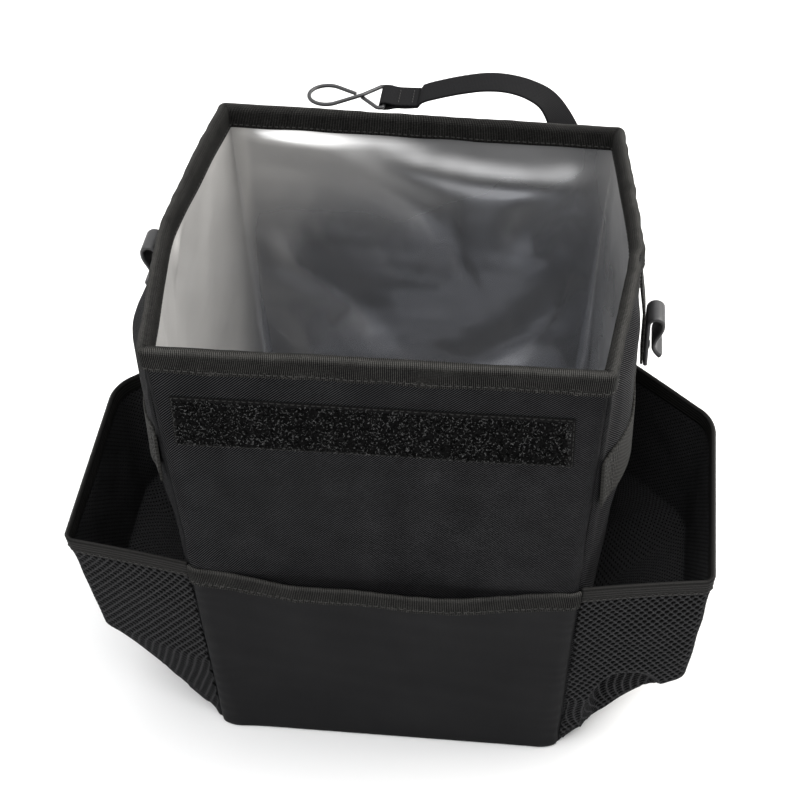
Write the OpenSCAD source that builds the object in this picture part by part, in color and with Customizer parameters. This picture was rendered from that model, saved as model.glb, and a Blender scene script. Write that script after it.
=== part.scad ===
// Soft car trash bin: a fabric box over stiff boards, with a waterproof liner, pockets and a
// hanging strap. Origin: centre of the base, on the surface it stands on. +Z up, front at -Y.

/* [Body] */
// Width of the body at the rim, outside the fabric
rim_w = 230; // [200:1:260]
// Width of the body at the base
base_w = 207; // [180:1:240]
// Depth of the body, front to back
body_d = 220; // [200:1:250]
// Height of the rim above the ground
body_h = 280; // [260:1:320]
// Corner radius at the base
base_r = 18; // [12:1:24]
// Corner radius at the rim
rim_r = 6; // [6:0.5:10]
// How far the middle fold of each side stands out at the rim
rim_fold = 11; // [4:0.5:14]
// How far the middle fold of each side stands out at the base
base_fold = 3; // [1:0.5:6]
// Extra outward belly of the side folds at half height
belly = 8; // [2:0.5:10]
// Angle round each corner, from the side, at which the panels are sewn together
seam_turn = 50; // [30:1:60]

/* [Layers] */
// Thickness of the outer fabric
fabric_t = 0.9; // [0.6:0.1:1.4]
// Thickness of the stiffener boards
board_t = 2.0; // [1.2:0.1:3]
// Thickness of the liner film
liner_t = 0.6; // [0.4:0.1:1]
// Clearance between two layers
layer_gap = 0.3; // [0.25:0.05:0.5]

/* [Rim binding] */
// Height of each flange of the folded binding tape
binding_h = 12.5; // [8:0.5:16]
// Thickness of the binding tape
binding_t = 0.8; // [0.5:0.1:1.2]

/* [Loop strip] */
// Length of the loop strip
strip_l = 200; // [120:1:205]
// Height of the loop strip
strip_h = 32; // [20:1:40]
// Thickness of the loop strip
strip_t = 1.8; // [1:0.1:3]
// Distance from the rim down to the loop strip
strip_drop = 28; // [16:1:40]
// Sideways offset of the loop strip
strip_x = -2; // [-4:0.5:4]

/* [Front pocket] */
// Height of the front pocket's top edge
pocket_h = 129; // [90:1:150]
// How far the top edge of the front pocket stands off at its middle
pocket_slack = 7; // [6:0.5:12]
// How far the top edge of the front pocket sags at its middle
pocket_sag = 3; // [0:0.5:6]
// Height of the front pocket's binding
pocket_binding_h = 12; // [8:0.5:16]

/* [Mesh pockets] */
// Height of the mesh pockets' top edge at the seams
mesh_h = 129; // [100:1:150]
// Rise of the mesh pockets' top edge at its outer side
mesh_rise = 7; // [0:0.5:12]
// How far a mesh pocket stands out at its top
mesh_out = 66; // [45:1:80]
// How far a mesh pocket stands out at its lower edge
mesh_low_out = 58; // [40:1:72]
// Height of the mesh pockets' lower outer edge
mesh_low_h = 57; // [40:1:70]
// How far the underside of a mesh pocket is drawn in
mesh_tuck = 5; // [0:0.5:9]
// Thickness of the mesh
mesh_t = 1.2; // [0.8:0.1:2]
// Height of the elastic binding
elastic_h = 9; // [6:0.5:12]
// Thickness of the elastic binding
elastic_t = 2.4; // [2:0.1:3]

/* [Side handles] */
// Width of the handle webbing
handle_w = 30; // [20:1:38]
// Thickness of the webbing
webbing_t = 1.5; // [1:0.1:2]
// Height of the middle of the handles
handle_z = 207; // [190:1:225]
// How far the left handle stands out at its middle
left_slack = 22; // [19:0.5:30]
// How far the right handle stands out at its middle
right_slack = 16; // [16:0.5:30]

/* [Bag clips] */
// Width of a clip
clip_w = 18; // [12:0.5:24]
// Height of a clip's back plate
clip_h = 32; // [30:0.5:40]
// Thickness of a clip's plate and leg
clip_t = 2.4; // [1.8:0.1:2.8]
// Radius of the clip's top bend, at the middle of its thickness
clip_bend = 3.9; // [3.9:0.1:5]
// Height of the top of the left clip
left_clip_z = 267; // [262:1:268]
// Height of the top of the right clip
right_clip_z = 236; // [232:1:268]
// Radius of the clip rivet's shank
rivet_r = 1.5; // [1:0.1:2]

/* [Strap and hook] */
// Sideways place of the strap's sewn end
strap_x = 88; // [70:1:92]
// Distance from the rim down to the strap's sewn end
strap_drop = 125; // [100:1:150]
// How far the strap's arch stands behind the back
arch_out = 14; // [14:0.5:20]
// How far the strap's arch rises over the rim
arch_rise = 16.6; // [15:0.1:24]
// Width of the strap webbing
strap_w = 20; // [15:0.5:22]
// Thickness of the strap webbing
strap_t = 1.4; // [1:0.1:1.8]
// Radius of the hook's wire
wire_r = 1.15; // [0.9:0.05:1.3]
// Distance from the hook's bar to the centre of its round end
hook_l = 34; // [30:0.5:38]
// Radius of the hook's round end
hook_r = 10.5; // [9:0.5:12]
// Tilt of the hook about the width axis
hook_tilt = 0; // [-8:1:20]

/* [Hidden] */

half_d = body_d / 2;
board_in = fabric_t + layer_gap;
board_out = board_in + board_t;
liner_in = board_out + layer_gap;
liner_out = liner_in + liner_t;
binding_in = liner_out + layer_gap;
base_top = fabric_t + layer_gap;
board_top = base_top + board_t;
wall_top = body_h - binding_t - layer_gap;
seat = 0.2;          // clearance of a sewn piece from what carries it
seam_gap = 0.3;      // clearance of two panels at their seam
seam_back = 0.8;     // distance of a pocket's or handle's end from the seam
arc_n = 5;           // segments in a body corner
seam_n = 3;          // segments in a panel's share of a corner
side_n = 12;         // segments across a side
wall_rows = 10;      // segments up a wall
fold_soft = 0.12;    // rounding of the middle fold
strip_z = body_h - strip_drop - strip_h;
webbing_seat = seat + webbing_t / 2;

function mix(a, b, t) = a + (b - a) * t;
function unit(v) = v / norm(v);
function flat(grid) = [for (row = grid) for (p = row) p];

// Half width of the body, its corner radius and the stand of its side folds at height z
function half_w(z) = mix(base_w, rim_w, z / body_h) / 2;
function corner_r(z) = mix(base_r, rim_r, z / body_h);
function fold_out(z) = mix(base_fold, rim_fold, z / body_h) + belly * sin(180 * z / body_h);
// Shape of a side from its corner (t = -1) over the softly creased middle (0) to the other (1)
function fold(t) = 1 - (sqrt(t * t + fold_soft * fold_soft) - fold_soft)
                     / (sqrt(1 + fold_soft * fold_soft) - fold_soft);
// x of the right side's surface at depth y and height z, for a layer that lies i inwards
function side_x(y, z, i = 0) = half_w(z) - i + fold_out(z) * fold(y / (half_d - corner_r(z)));

// x of the right side's surface where y may also lie round a corner, for a layer off outwards
function body_x(y, z, off) =
    let (r = corner_r(z), past = abs(y) - (half_d - r))
    past <= 0 ? side_x(y, z, -off) : half_w(z) - r + sqrt(max(0, pow(r + off, 2) - past * past));

// Points round a body corner, from angle from + a0 to from + a1
function corner(sx, sy, from, i, z, a0 = 0, a1 = 90, n = arc_n) =
    let (r = corner_r(z), cx = sx * (half_w(z) - r), cy = sy * (half_d - r))
    [for (k = [0 : n]) let (a = from + mix(a0, a1, k / n))
        [cx + (r - i) * cos(a), cy + (r - i) * sin(a), z]];
function front_line(i, z) = concat(corner(-1, -1, 180, i, z, seam_turn, 90, seam_n),
                                   corner(1, -1, 270, i, z, 0, 90 - seam_turn, seam_n));
function back_line(i, z) = concat(corner(1, 1, 0, i, z, seam_turn, 90, seam_n),
                                  corner(-1, 1, 90, i, z, 0, 90 - seam_turn, seam_n));
// Angle of what ends a distance back behind the seam
function seam_a(z, back) = seam_turn - back / corner_r(z) * 180 / PI;
function seam_y(z, off, back) = half_d - corner_r(z) + (corner_r(z) + off) * sin(seam_a(z, back));
function side_line(i, z, t0 = -1, t1 = 1, n = side_n) =
    let (run = half_d - corner_r(z))
    [for (k = [0 : n]) let (t = mix(t0, t1, k / n)) [side_x(t * run, z, i), t * run, z]];
function mirrored(line) = [for (k = [len(line) - 1 : -1 : 0]) [-line[k][0], line[k][1], line[k][2]]];
function without_first(line) = [for (k = [1 : len(line) - 1]) line[k]];
function without_last(line) = [for (k = [0 : len(line) - 2]) line[k]];
// Middle of a side without the two points that its corners have too
function inner_side(i, z) = without_first(without_last(side_line(i, z)));
function outline(i, z) = concat(corner(-1, -1, 180, i, z), corner(1, -1, 270, i, z), inner_side(i, z),
                                corner(1, 1, 0, i, z), corner(-1, 1, 90, i, z),
                                mirrored(inner_side(i, z)));
// A side from seam to seam
function sewn_side(i, z) = let (a = seam_a(z, seam_gap))
    concat(corner(1, -1, 270, i, z, 90 - a, 90, seam_n), inner_side(i, z),
           corner(1, 1, 0, i, z, 0, a, seam_n));
function levels(z0, z1, n = wall_rows) = [for (k = [0 : n]) mix(z0, z1, k / n)];

// A sheet between an outer and an inner grid of points
module sheet(outer, inner) {
    nr = len(outer);
    nc = len(outer[0]);
    n = nr * nc;
    function at(k, j) = k * nc + j;
    polyhedron(concat(flat(outer), flat(inner)), concat(
        [for (k = [0 : nr - 2]) for (j = [0 : nc - 2]) each [
            [at(k, j), at(k + 1, j), at(k + 1, j + 1)], [at(k, j), at(k + 1, j + 1), at(k, j + 1)],
            [n + at(k, j), n + at(k, j + 1), n + at(k + 1, j + 1)],
            [n + at(k, j), n + at(k + 1, j + 1), n + at(k + 1, j)]]],
        [for (j = [0 : nc - 2]) each [
            [at(0, j), at(0, j + 1), n + at(0, j + 1)], [at(0, j), n + at(0, j + 1), n + at(0, j)],
            [at(nr - 1, j + 1), at(nr - 1, j), n + at(nr - 1, j)],
            [at(nr - 1, j + 1), n + at(nr - 1, j), n + at(nr - 1, j + 1)]]],
        [for (k = [0 : nr - 2]) each [
            [at(k + 1, 0), at(k, 0), n + at(k, 0)], [at(k + 1, 0), n + at(k, 0), n + at(k + 1, 0)],
            [at(k, nc - 1), at(k + 1, nc - 1), n + at(k + 1, nc - 1)],
            [at(k, nc - 1), n + at(k + 1, nc - 1), n + at(k, nc - 1)]]]));
}

// A surface through closed rings: a closed section where ends meet, or a cup capped at both ends
module ring_surface(rings, closed_section) {
    nr = len(rings);
    nc = len(rings[0]);
    last = closed_section ? nr - 1 : nr - 2;
    function at(k, j) = (k % nr) * nc + j % nc;
    polyhedron(flat(rings), concat(
        [for (k = [0 : last]) for (j = [0 : nc - 1]) each [
            [at(k, j), at(k + 1, j), at(k + 1, j + 1)], [at(k, j), at(k + 1, j + 1), at(k, j + 1)]]],
        closed_section ? [] : [[for (j = [0 : nc - 1]) j],
                               [for (j = [nc - 1 : -1 : 0]) at(nr - 1, j)]]));
}

module mirror_if(left) {
    if (left) mirror([1, 0, 0]) children();
    else children();
}

module base_panel() {
    color("#232325") ring_surface([outline(0, 0), outline(0, fabric_t)], false);
}

module front_panel() {
    zs = levels(base_top, wall_top);
    color("#28282a") sheet([for (z = zs) front_line(0, z)], [for (z = zs) front_line(fabric_t, z)]);
}

module back_panel() {
    zs = levels(base_top, wall_top);
    color("#28282a") sheet([for (z = zs) back_line(0, z)], [for (z = zs) back_line(fabric_t, z)]);
}

module side_panel(left) {
    zs = levels(base_top, wall_top);
    color("#2b2b2d") mirror_if(left)
        sheet([for (z = zs) sewn_side(0, z)], [for (z = zs) sewn_side(fabric_t, z)]);
}

module base_board() {
    color("#c9c4b8") ring_surface([outline(board_in, base_top), outline(board_in, board_top)], false);
}

// The flat part of the front or back wall between its corners
module flat_board(sy) {
    z0 = board_top + layer_gap;
    z1 = wall_top - layer_gap;
    x0 = half_w(z0) - base_r;
    x1 = half_w(z1) - base_r;
    color("#c9c4b8") translate([0, sy * (half_d - board_in - board_t / 2), 0]) rotate([90, 0, 0])
        translate([0, 0, -board_t / 2]) linear_extrude(board_t)
            polygon([[-x0, z0], [x0, z0], [x1, z1], [-x1, z1]]);
}

module side_board(left, t0, t1) {
    zs = levels(board_top + layer_gap, wall_top - layer_gap);
    n = side_n / 2;
    color("#c9c4b8") mirror_if(left)
        sheet([for (z = zs) side_line(board_in, z, t0, t1, n)],
              [for (z = zs) side_line(board_out, z, t0, t1, n)]);
}

// One welded bag: up its outer face, over its edge, down its inner face and across its floor
module liner() {
    floor_z = board_top + layer_gap;
    top_z = wall_top - layer_gap;
    color("#b9b6b2") ring_surface(concat(
        [for (z = levels(floor_z, top_z)) outline(liner_in, z)],
        [for (z = levels(top_z, floor_z + liner_t)) outline(liner_out, z)]), false);
}

// Tape folded over the edge of all layers, as a U section with eased outer edges
module rim_binding() {
    low = body_h - binding_h;
    out = -layer_gap - binding_t;
    far = binding_in + binding_t;
    ease = binding_t / 2;
    color("#33322f") ring_surface([
        outline(out, low), outline(out, body_h - ease), outline(out + ease, body_h),
        outline(far - ease, body_h), outline(far, body_h - ease), outline(far, low),
        outline(binding_in, low), outline(binding_in, body_h - binding_t),
        outline(-layer_gap, body_h - binding_t), outline(-layer_gap, low)], true);
}

module loop_strip() {
    edge = 0.5;
    color("#151515") translate([strip_x, -half_d - seat, strip_z]) rotate([90, 0, 0]) {
        linear_extrude(strip_t - edge)
            translate([-strip_l / 2, 0]) square([strip_l, strip_h]);
        translate([0, 0, strip_t - edge]) linear_extrude(edge)
            translate([edge - strip_l / 2, edge]) square([strip_l - 2 * edge, strip_h - 2 * edge]);
    }
}

// Stand-off of the front pocket at x and at height fraction t: most at the middle of its top edge
function pocket_off(x, z, t) = let (e = x / (half_w(z) - corner_r(z)))
    pocket_slack * pow(max(0, 1 - e * e), 1.2) * t * t;
function pocket_line(i, t, drop) =
    let (n = 12, z1 = pocket_h - drop)
    [for (k = [0 : n]) let (
        z = mix(base_top, z1, t), s = 2 * k / n - 1, x = s * (half_w(z) - corner_r(z)),
        sag = pocket_sag * (1 - s * s) * t * z1 / pocket_h)
        [x, -half_d - seat - i - pocket_off(x, z, t * z1 / pocket_h), z - sag]];
function pocket_wrap(i, t, drop) = let (z = mix(base_top, pocket_h - drop, t))
    concat(without_last(corner(-1, -1, 180, -seat - i, z, seam_turn, 90, seam_n)),
           pocket_line(i, t, drop),
           without_first(corner(1, -1, 270, -seat - i, z, 0, 90 - seam_turn, seam_n)));

module front_pocket() {
    drop = pocket_binding_h + seat;
    color("#303032") sheet([for (t = levels(0, 1)) pocket_wrap(fabric_t, t, drop)],
                           [for (t = levels(0, 1)) pocket_wrap(0, t, drop)]);
}

module front_pocket_binding() {
    t0 = 1 - pocket_binding_h / (pocket_h - base_top);
    color("#3a3834") sheet([for (t = [t0, 1]) pocket_wrap(fabric_t + binding_t, t, 0)],
                           [for (t = [t0, 1]) pocket_wrap(0, t, 0)]);
}

// A path with its inner corners rounded: arcs of rs[k] and n segments between straight runs
function round_corner(a, b, c, r, n) =
    let (u = unit(a - b), v = unit(c - b), half = acos(u * v) / 2, run = r / tan(half),
         m = b + unit(u + v) * r / sin(half), p = b + u * run - m, q = b + v * run - m)
    [for (k = [0 : n]) let (w = k / n) m + unit(mix(p, q, w)) * r];

// Rings of a mesh pocket: plan path from the front seam round the outer wall to the back seam
bag_front_r = 14;
bag_back_r = 34;
bag_back_y = 30;
bag_arc = 5;
bag_wall = 4;
function along(a, b, n) = [for (k = [1 : n]) mix(a, b, k / n)];
function bag_path(z, out, lean) =
    let (x1 = half_w(z) + out, y1 = half_d - corner_r(z) - 2,
         off = (mesh_t + elastic_t) / 2, sewn_y = seam_y(z, off, seam_back),
         sewn_x = body_x(sewn_y, z, off),
         a = [sewn_x, -sewn_y], b = [x1, lean - y1], c = [x1 + 3, bag_back_y], d = [sewn_x, sewn_y],
         f = round_corner(a, b, c, bag_front_r, bag_arc),
         g = round_corner(b, c, d, bag_back_r, bag_arc))
    concat([a], along(a, f[0], bag_wall), without_first(f), along(f[bag_arc], g[0], bag_wall),
           without_first(g), [g[bag_arc]], along(g[bag_arc], d, bag_wall));
bag_n = len(bag_path(mesh_low_h, mesh_low_out, 0));
// Path of the bottom seam: the front wall's share of points gathered near the front corner, the
// others along the side, and the last ones round the rear corner
bag_front_n = bag_wall + bag_arc / 2;
bag_rear_n = bag_n - 4;
function seam_point(k) =
    let (z = base_top + mesh_t, off = mesh_t + seat, y1 = seam_y(z, off, seam_back), turn = 8,
         y2 = half_d - corner_r(z),
         y = k < bag_front_n ? mix(-y1, turn - y1, k / bag_front_n)
           : k < bag_rear_n ? mix(turn - y1, y2, (k - bag_front_n) / (bag_rear_n - bag_front_n))
           : mix(y2, y1, (k - bag_rear_n) / (bag_n - 1 - bag_rear_n)))
    [body_x(y, z, off), y, z];
function top_z(k) = let (s = 2 * k / (bag_n - 1) - 1)
    mesh_h + mesh_rise * (1 - pow(abs(s), 3));
function bag_top(k) = let (p = bag_path(mesh_h, mesh_out, -3)[k]) [p[0], p[1], top_z(k)];
function bag_low(k) = let (p = bag_path(mesh_low_h, mesh_low_out, 3)[k]) [p[0], p[1], mesh_low_h];
bag_tops = [for (k = [0 : bag_n - 1]) bag_top(k)];
bag_lows = [for (k = [0 : bag_n - 1]) bag_low(k)];
bag_seams = [for (k = [0 : bag_n - 1]) seam_point(k)];
function bag_wall_row(t) = [for (k = [0 : bag_n - 1]) mix(bag_lows[k], bag_tops[k], t)];
function bag_under_row(t) = [for (k = [0 : bag_n - 1]) let (s = 2 * k / (bag_n - 1) - 1)
    mix(bag_seams[k], bag_lows[k], t) + [0, 0, mesh_tuck * 4 * t * (1 - t) * (1 - pow(abs(s), 6))]];
// Outward normal of a grid of rows from the seam up, taken from neighbouring points
function grid_normal(g, k, j) =
    let (k0 = max(k - 1, 0), k1 = min(k + 1, len(g) - 1), j0 = max(j - 1, 0),
         j1 = min(j + 1, len(g[0]) - 1))
    unit(cross(g[k][j1] - g[k][j0], g[k1][j] - g[k0][j]));
function shifted(g, d) = [for (k = [0 : len(g) - 1])
    [for (j = [0 : len(g[0]) - 1]) g[k][j] - grid_normal(g, k, j) * d]];

elastic_t0 = 1 - elastic_h / (mesh_h + mesh_rise - mesh_low_h);
mesh_rows = concat([for (t = levels(0, 0.8, 4)) bag_under_row(t)],
                   [for (t = levels(0, elastic_t0 - 0.006, 5)) bag_wall_row(t)]);

module mesh_pocket(left) {
    color("#1c1c1e") mirror_if(left) sheet(mesh_rows, shifted(mesh_rows, mesh_t));
}

module mesh_binding(left) {
    rows = [bag_wall_row(elastic_t0), bag_wall_row(1)];
    over = (elastic_t - mesh_t) / 2;
    color("#2a2a2a") mirror_if(left) sheet(shifted(rows, -over), shifted(rows, mesh_t + over));
}

// Outline of constant thickness t along a list of points
function stroke_side(path, d) = [for (k = [0 : len(path) - 1]) let (
    v = unit(path[min(k + 1, len(path) - 1)] - path[max(k - 1, 0)]))
    path[k] + [-v[1], v[0]] * d];
function stroke(path, t) = let (a = stroke_side(path, t / 2), b = stroke_side(path, -t / 2))
    concat(a, [for (k = [len(b) - 1 : -1 : 0]) b[k]]);

// Webbing sewn flat at both ends up to the seams and bowed away from the side between them
handle_top = handle_z + handle_w / 2;
handle_run = half_d - corner_r(handle_z) - 1;
handle_sewn = 8;
function handle_x(y, slack, power) = let (e = min(1, abs(y) / (handle_run - handle_sewn)))
    max(half_w(handle_top) + slack * (1 - pow(e, power)) + webbing_seat,
        side_x(y, handle_top) + webbing_seat);
module side_handle(left) {
    slack = left ? left_slack : right_slack;
    power = left ? 4 : 3;
    n = 26;
    a = seam_a(handle_top, seam_back);
    off = -webbing_seat;
    path = [for (p = concat(
        without_last(corner(1, -1, 270, off, handle_top, 90 - a, 90, seam_n)),
        [for (k = [0 : n]) let (y = mix(-handle_run, handle_run, k / n)) [handle_x(y, slack, power), y]],
        without_first(corner(1, 1, 0, off, handle_top, 0, a, seam_n)))) [p[0], p[1]]];
    color("#2c2a28") mirror_if(left) translate([0, 0, handle_z - handle_w / 2])
        linear_extrude(handle_w) polygon(stroke(path, webbing_t));
}
function handle_face(left) = half_w(handle_top) + (left ? left_slack : right_slack)
    + webbing_seat + webbing_t / 2;

// Clip: back plate, round top bend and a leg that nears the plate and flares at its lip. Its tab
// hangs over the handle where it reaches down to it, and else lies on the side.
function clip_z(left) = left ? left_clip_z : right_clip_z;
function clip_plate_x(left) = 2 * seat + webbing_t + clip_t / 2
    + (clip_z(left) - clip_h < handle_top + handle_free ? handle_face(left)
                                                        : side_x(0, clip_z(left) - clip_h));
handle_free = 4;     // height that a clip or its tab's bend keeps above a handle that it clears
function clip_path() =
    let (b = clip_bend, waist = clip_t + 1.2, lip = waist + 4, waist_drop = 13, lip_h = 6.5)
    concat([[0, -clip_h]],
        [for (a = [180 : -15 : 0]) [b + b * cos(a), -b - clip_t / 2 + b * sin(a)]],
        [for (k = [1 : 8]) let (t = k / 8)
            [mix(2 * b, waist, (1 - cos(180 * t)) / 2), -b - 2 - waist_drop * t]],
        [for (k = [1 : 4]) let (t = k / 4) [mix(waist, lip, t * t), -b - 2 - waist_drop - lip_h * t]]);
rivet_drop = 8;
rivet_head = 0.8;
module bag_clip(left) {
    color("#5a5a5c") mirror_if(left) translate([clip_plate_x(left), 0, clip_z(left)]) difference() {
        translate([0, clip_w / 2, 0]) rotate([90, 0, 0]) linear_extrude(clip_w)
            polygon(stroke(clip_path(), clip_t));
        translate([-clip_t, 0, rivet_drop - clip_h]) rotate([0, 90, 0])
            cylinder(r = rivet_r + 0.05, h = 2 * clip_t, $fn = 32);
    }
}

// Webbing that hangs from under the rim binding and carries the clip
module clip_tab(left) {
    z0 = clip_z(left) - clip_h + 1;
    z1 = body_h - binding_h - seat;
    x_low = clip_plate_x(left) - clip_t / 2 - seat - webbing_t / 2;
    n = 10;
    z_bend = max(z0 + 14, handle_top + handle_free);
    path = concat([[x_low, z0]], [for (k = [0 : n]) let (t = k / n, z = mix(z_bend, z1, t),
        own = side_x(0, z) + seat + webbing_t / 2)
        [max(own, mix(x_low, own, (1 - cos(180 * t)) / 2)), z]]);
    color("#2c2a28") mirror_if(left) difference() {
        translate([0, clip_w / 2, 0]) rotate([90, 0, 0]) linear_extrude(clip_w)
            polygon(stroke(path, webbing_t));
        translate([x_low - webbing_t, 0, clip_z(left) - clip_h + rivet_drop]) rotate([0, 90, 0])
            cylinder(r = rivet_r + 0.05, h = 2 * webbing_t, $fn = 32);
    }
}

module clip_rivet(left) {
    z = clip_z(left) - clip_h + rivet_drop;
    plate = clip_plate_x(left);
    back = plate - clip_t / 2 - seat - webbing_t;
    color("#77777a") mirror_if(left) translate([back - 0.15, 0, z]) rotate([0, 90, 0]) {
        cylinder(r = rivet_r, h = plate + clip_t / 2 - back + 0.3, $fn = 32);
        translate([0, 0, plate + clip_t / 2 - back + 0.2])
            cylinder(r1 = rivet_r * 1.9, r2 = rivet_r * 1.3, h = rivet_head, $fn = 32);
    }
}

// Strap: flat on the back panel, rising and turning as it clears the rim, then an arch to the hook.
// Each row is the middle of the webbing and the direction of its width.
strap_y = half_d + seat + strap_t / 2;
bar = [-21.5, half_d + arch_out, body_h + 4.5];
bar_gap = 0.35;
sewn_l = 20;
sewn_over = 0.3;
bar_dir = [0, cos(hook_tilt), sin(hook_tilt)];
function flat_row(drop, w) = [[strap_x, strap_y, body_h - drop], w];
// A row at share u of the way to the bar, with shares o of the arch's stand and h of its rise
function arch_row(u, o, h, w) =
    [[mix(strap_x, bar[0], u), strap_y + o * arch_out, body_h + h * arch_rise], w];
strap_route = [
    flat_row(strap_drop, [1, 0, 0]), flat_row(mix(55, strap_drop, 0.5), [1, 0, 0]),
    flat_row(55, [1, 0.02, 0]),
    arch_row(0.01, 0.17, -2.05, [1, 0.16, 0]), arch_row(0.035, 0.485, -1.08, [1, 0.5, 0]),
    arch_row(0.08, 0.785, -0.3, [0.75, 0.95, -0.03]), arch_row(0.15, 0.955, 0.36, [0.4, 1, -0.02]),
    arch_row(0.245, 1, 0.755, [0.15, 1, 0]), arch_row(0.355, 1, 0.965, [0, 1, 0]),
    arch_row(0.47, 0.97, 1, [0, 1, 0]), arch_row(0.59, 0.94, 0.88, [0, 1, 0]),
    arch_row(0.705, 0.915, 0.695, [0, 1, 0.2 * tan(hook_tilt)]),
    arch_row(0.79, 0.88, 0.52, [0, 1, 0.7 * tan(hook_tilt)]),
    [[bar[0] + sewn_l - 1, bar[1], bar[2] + 1.2], bar_dir],
    [[bar[0] + sewn_l - 8, bar[1], bar[2]], bar_dir]];
function route_dir(k) = unit(strap_route[min(k + 1, len(strap_route) - 1)][0]
                             - strap_route[max(k - 1, 0)][0]);
function strap_row(side, lift) = [for (k = [0 : len(strap_route) - 1]) let (
    t = route_dir(k), w0 = strap_route[k][1], w = unit(w0 - t * (w0 * t)), n = cross(t, w))
    strap_route[k][0] + w * side * strap_w / 2 + n * lift];

module back_strap() {
    r_in = wire_r + bar_gap;
    color("#242424") {
        sheet([strap_row(-1, strap_t / 2), strap_row(1, strap_t / 2)],
              [strap_row(-1, -strap_t / 2), strap_row(1, -strap_t / 2)]);
        translate(bar) rotate([hook_tilt, 0, 0]) rotate([90, 0, 0])
            translate([0, 0, -strap_w / 2 - sewn_over])
            linear_extrude(strap_w + 2 * sewn_over) difference() {
                union() {
                    circle(r = r_in + strap_t, $fn = 48);
                    translate([0, -strap_t]) square([sewn_l, 2 * strap_t]);
                }
                circle(r = r_in, $fn = 48);
            }
    }
}

// Closed tube along a path that never runs along Z
module tube(path, r, sides = 10) {
    last = len(path) - 1;
    ring_surface([for (k = [0 : last]) let (
        t = unit(path[min(k + 1, last)] - path[max(k - 1, 0)]), s = unit(cross([0, 0, 1], t)),
        u = cross(t, s))
        [for (j = [0 : sides - 1]) let (a = 360 * j / sides) path[k] + r * (s * cos(a) + u * sin(a))]],
        false);
}

// Hook bent from one wire: a bar and two legs make the eye, the wire crosses itself, goes round an
// open bow and ends just short of the crossing
module strap_hook() {
    half_bar = strap_w / 2 + sewn_over + bar_gap + wire_r;
    leg_x = -3.6;
    cross_x = -13;
    past = 1.5;
    over = [0, 0, 0.85 * wire_r];
    bend_r = 2.4;
    bend_n = 4;
    bow_n = 20;
    mouth = 0.72;
    thin = 0.97 * wire_r;
    open_a = asin(hook_r / (hook_l + cross_x));
    turn = 180 + 2 * open_a;
    eye_a = [leg_x, half_bar, 0];
    eye_b = [leg_x, -half_bar, 0];
    cross_at = [cross_x, 0, 0];
    bow = [for (k = [0 : bow_n]) let (a = open_a - 90 - turn * k / bow_n)
        [-hook_l + hook_r * cos(a), hook_r * sin(a), 0]];
    color("#4c4c50") translate(bar) rotate([hook_tilt, 0, 0]) {
        rotate([90, 0, 0]) translate([0, 0, -half_bar - wire_r])
            cylinder(r = wire_r, h = 2 * (half_bar + wire_r), $fn = 32);
        tube(concat([[0, half_bar, 0]], round_corner([0, half_bar, 0], eye_a, cross_at, bend_r, bend_n),
                    [cross_at + over], bow, [mix(bow[bow_n], cross_at, mouth)]), thin);
        tube(concat([[0, -half_bar, 0]], round_corner([0, -half_bar, 0], eye_b, cross_at, bend_r, bend_n),
                    [cross_at - over, cross_at - over + unit(cross_at - eye_b) * past]), thin);
    }
}

base_panel();
front_panel();
back_panel();
side_panel(true);  // left_panel
side_panel(false);  // right_panel
base_board();
flat_board(-1);  // front_board
flat_board(1);  // back_board
side_board(true, -0.985, -0.012);  // left_front_board
side_board(true, 0.012, 0.985);  // left_rear_board
side_board(false, -0.985, -0.012);  // right_front_board
side_board(false, 0.012, 0.985);  // right_rear_board
liner();
rim_binding();
loop_strip();
front_pocket();
front_pocket_binding();
mesh_pocket(true);  // left_mesh_pocket
mesh_pocket(false);  // right_mesh_pocket
mesh_binding(true);  // left_mesh_binding
mesh_binding(false);  // right_mesh_binding
side_handle(true);  // left_side_handle
side_handle(false);  // right_side_handle
clip_tab(true);  // left_clip_tab
clip_tab(false);  // right_clip_tab
bag_clip(true);  // left_bag_clip
bag_clip(false);  // right_bag_clip
clip_rivet(true);  // left_clip_rivet
clip_rivet(false);  // right_clip_rivet
back_strap();
strap_hook();
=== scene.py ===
"""Looks of the soft car trash bin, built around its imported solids. Lengths are in metres."""

import math

import bpy
import numpy as np
from mathutils import Matrix, Vector


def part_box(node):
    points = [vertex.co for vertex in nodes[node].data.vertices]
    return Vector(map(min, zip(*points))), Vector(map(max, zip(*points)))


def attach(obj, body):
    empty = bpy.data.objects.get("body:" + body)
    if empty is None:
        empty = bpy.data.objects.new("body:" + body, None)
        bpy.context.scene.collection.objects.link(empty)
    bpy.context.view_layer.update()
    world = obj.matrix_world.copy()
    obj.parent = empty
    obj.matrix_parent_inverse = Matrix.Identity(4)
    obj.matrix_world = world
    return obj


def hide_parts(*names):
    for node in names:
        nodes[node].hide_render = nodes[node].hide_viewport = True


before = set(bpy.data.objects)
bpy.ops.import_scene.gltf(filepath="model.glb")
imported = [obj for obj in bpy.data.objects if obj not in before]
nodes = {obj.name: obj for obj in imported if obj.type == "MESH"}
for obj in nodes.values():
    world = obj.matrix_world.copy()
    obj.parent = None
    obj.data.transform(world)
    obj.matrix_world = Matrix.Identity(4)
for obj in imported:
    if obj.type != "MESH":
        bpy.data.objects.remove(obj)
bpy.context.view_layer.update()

MM = 0.001

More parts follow.
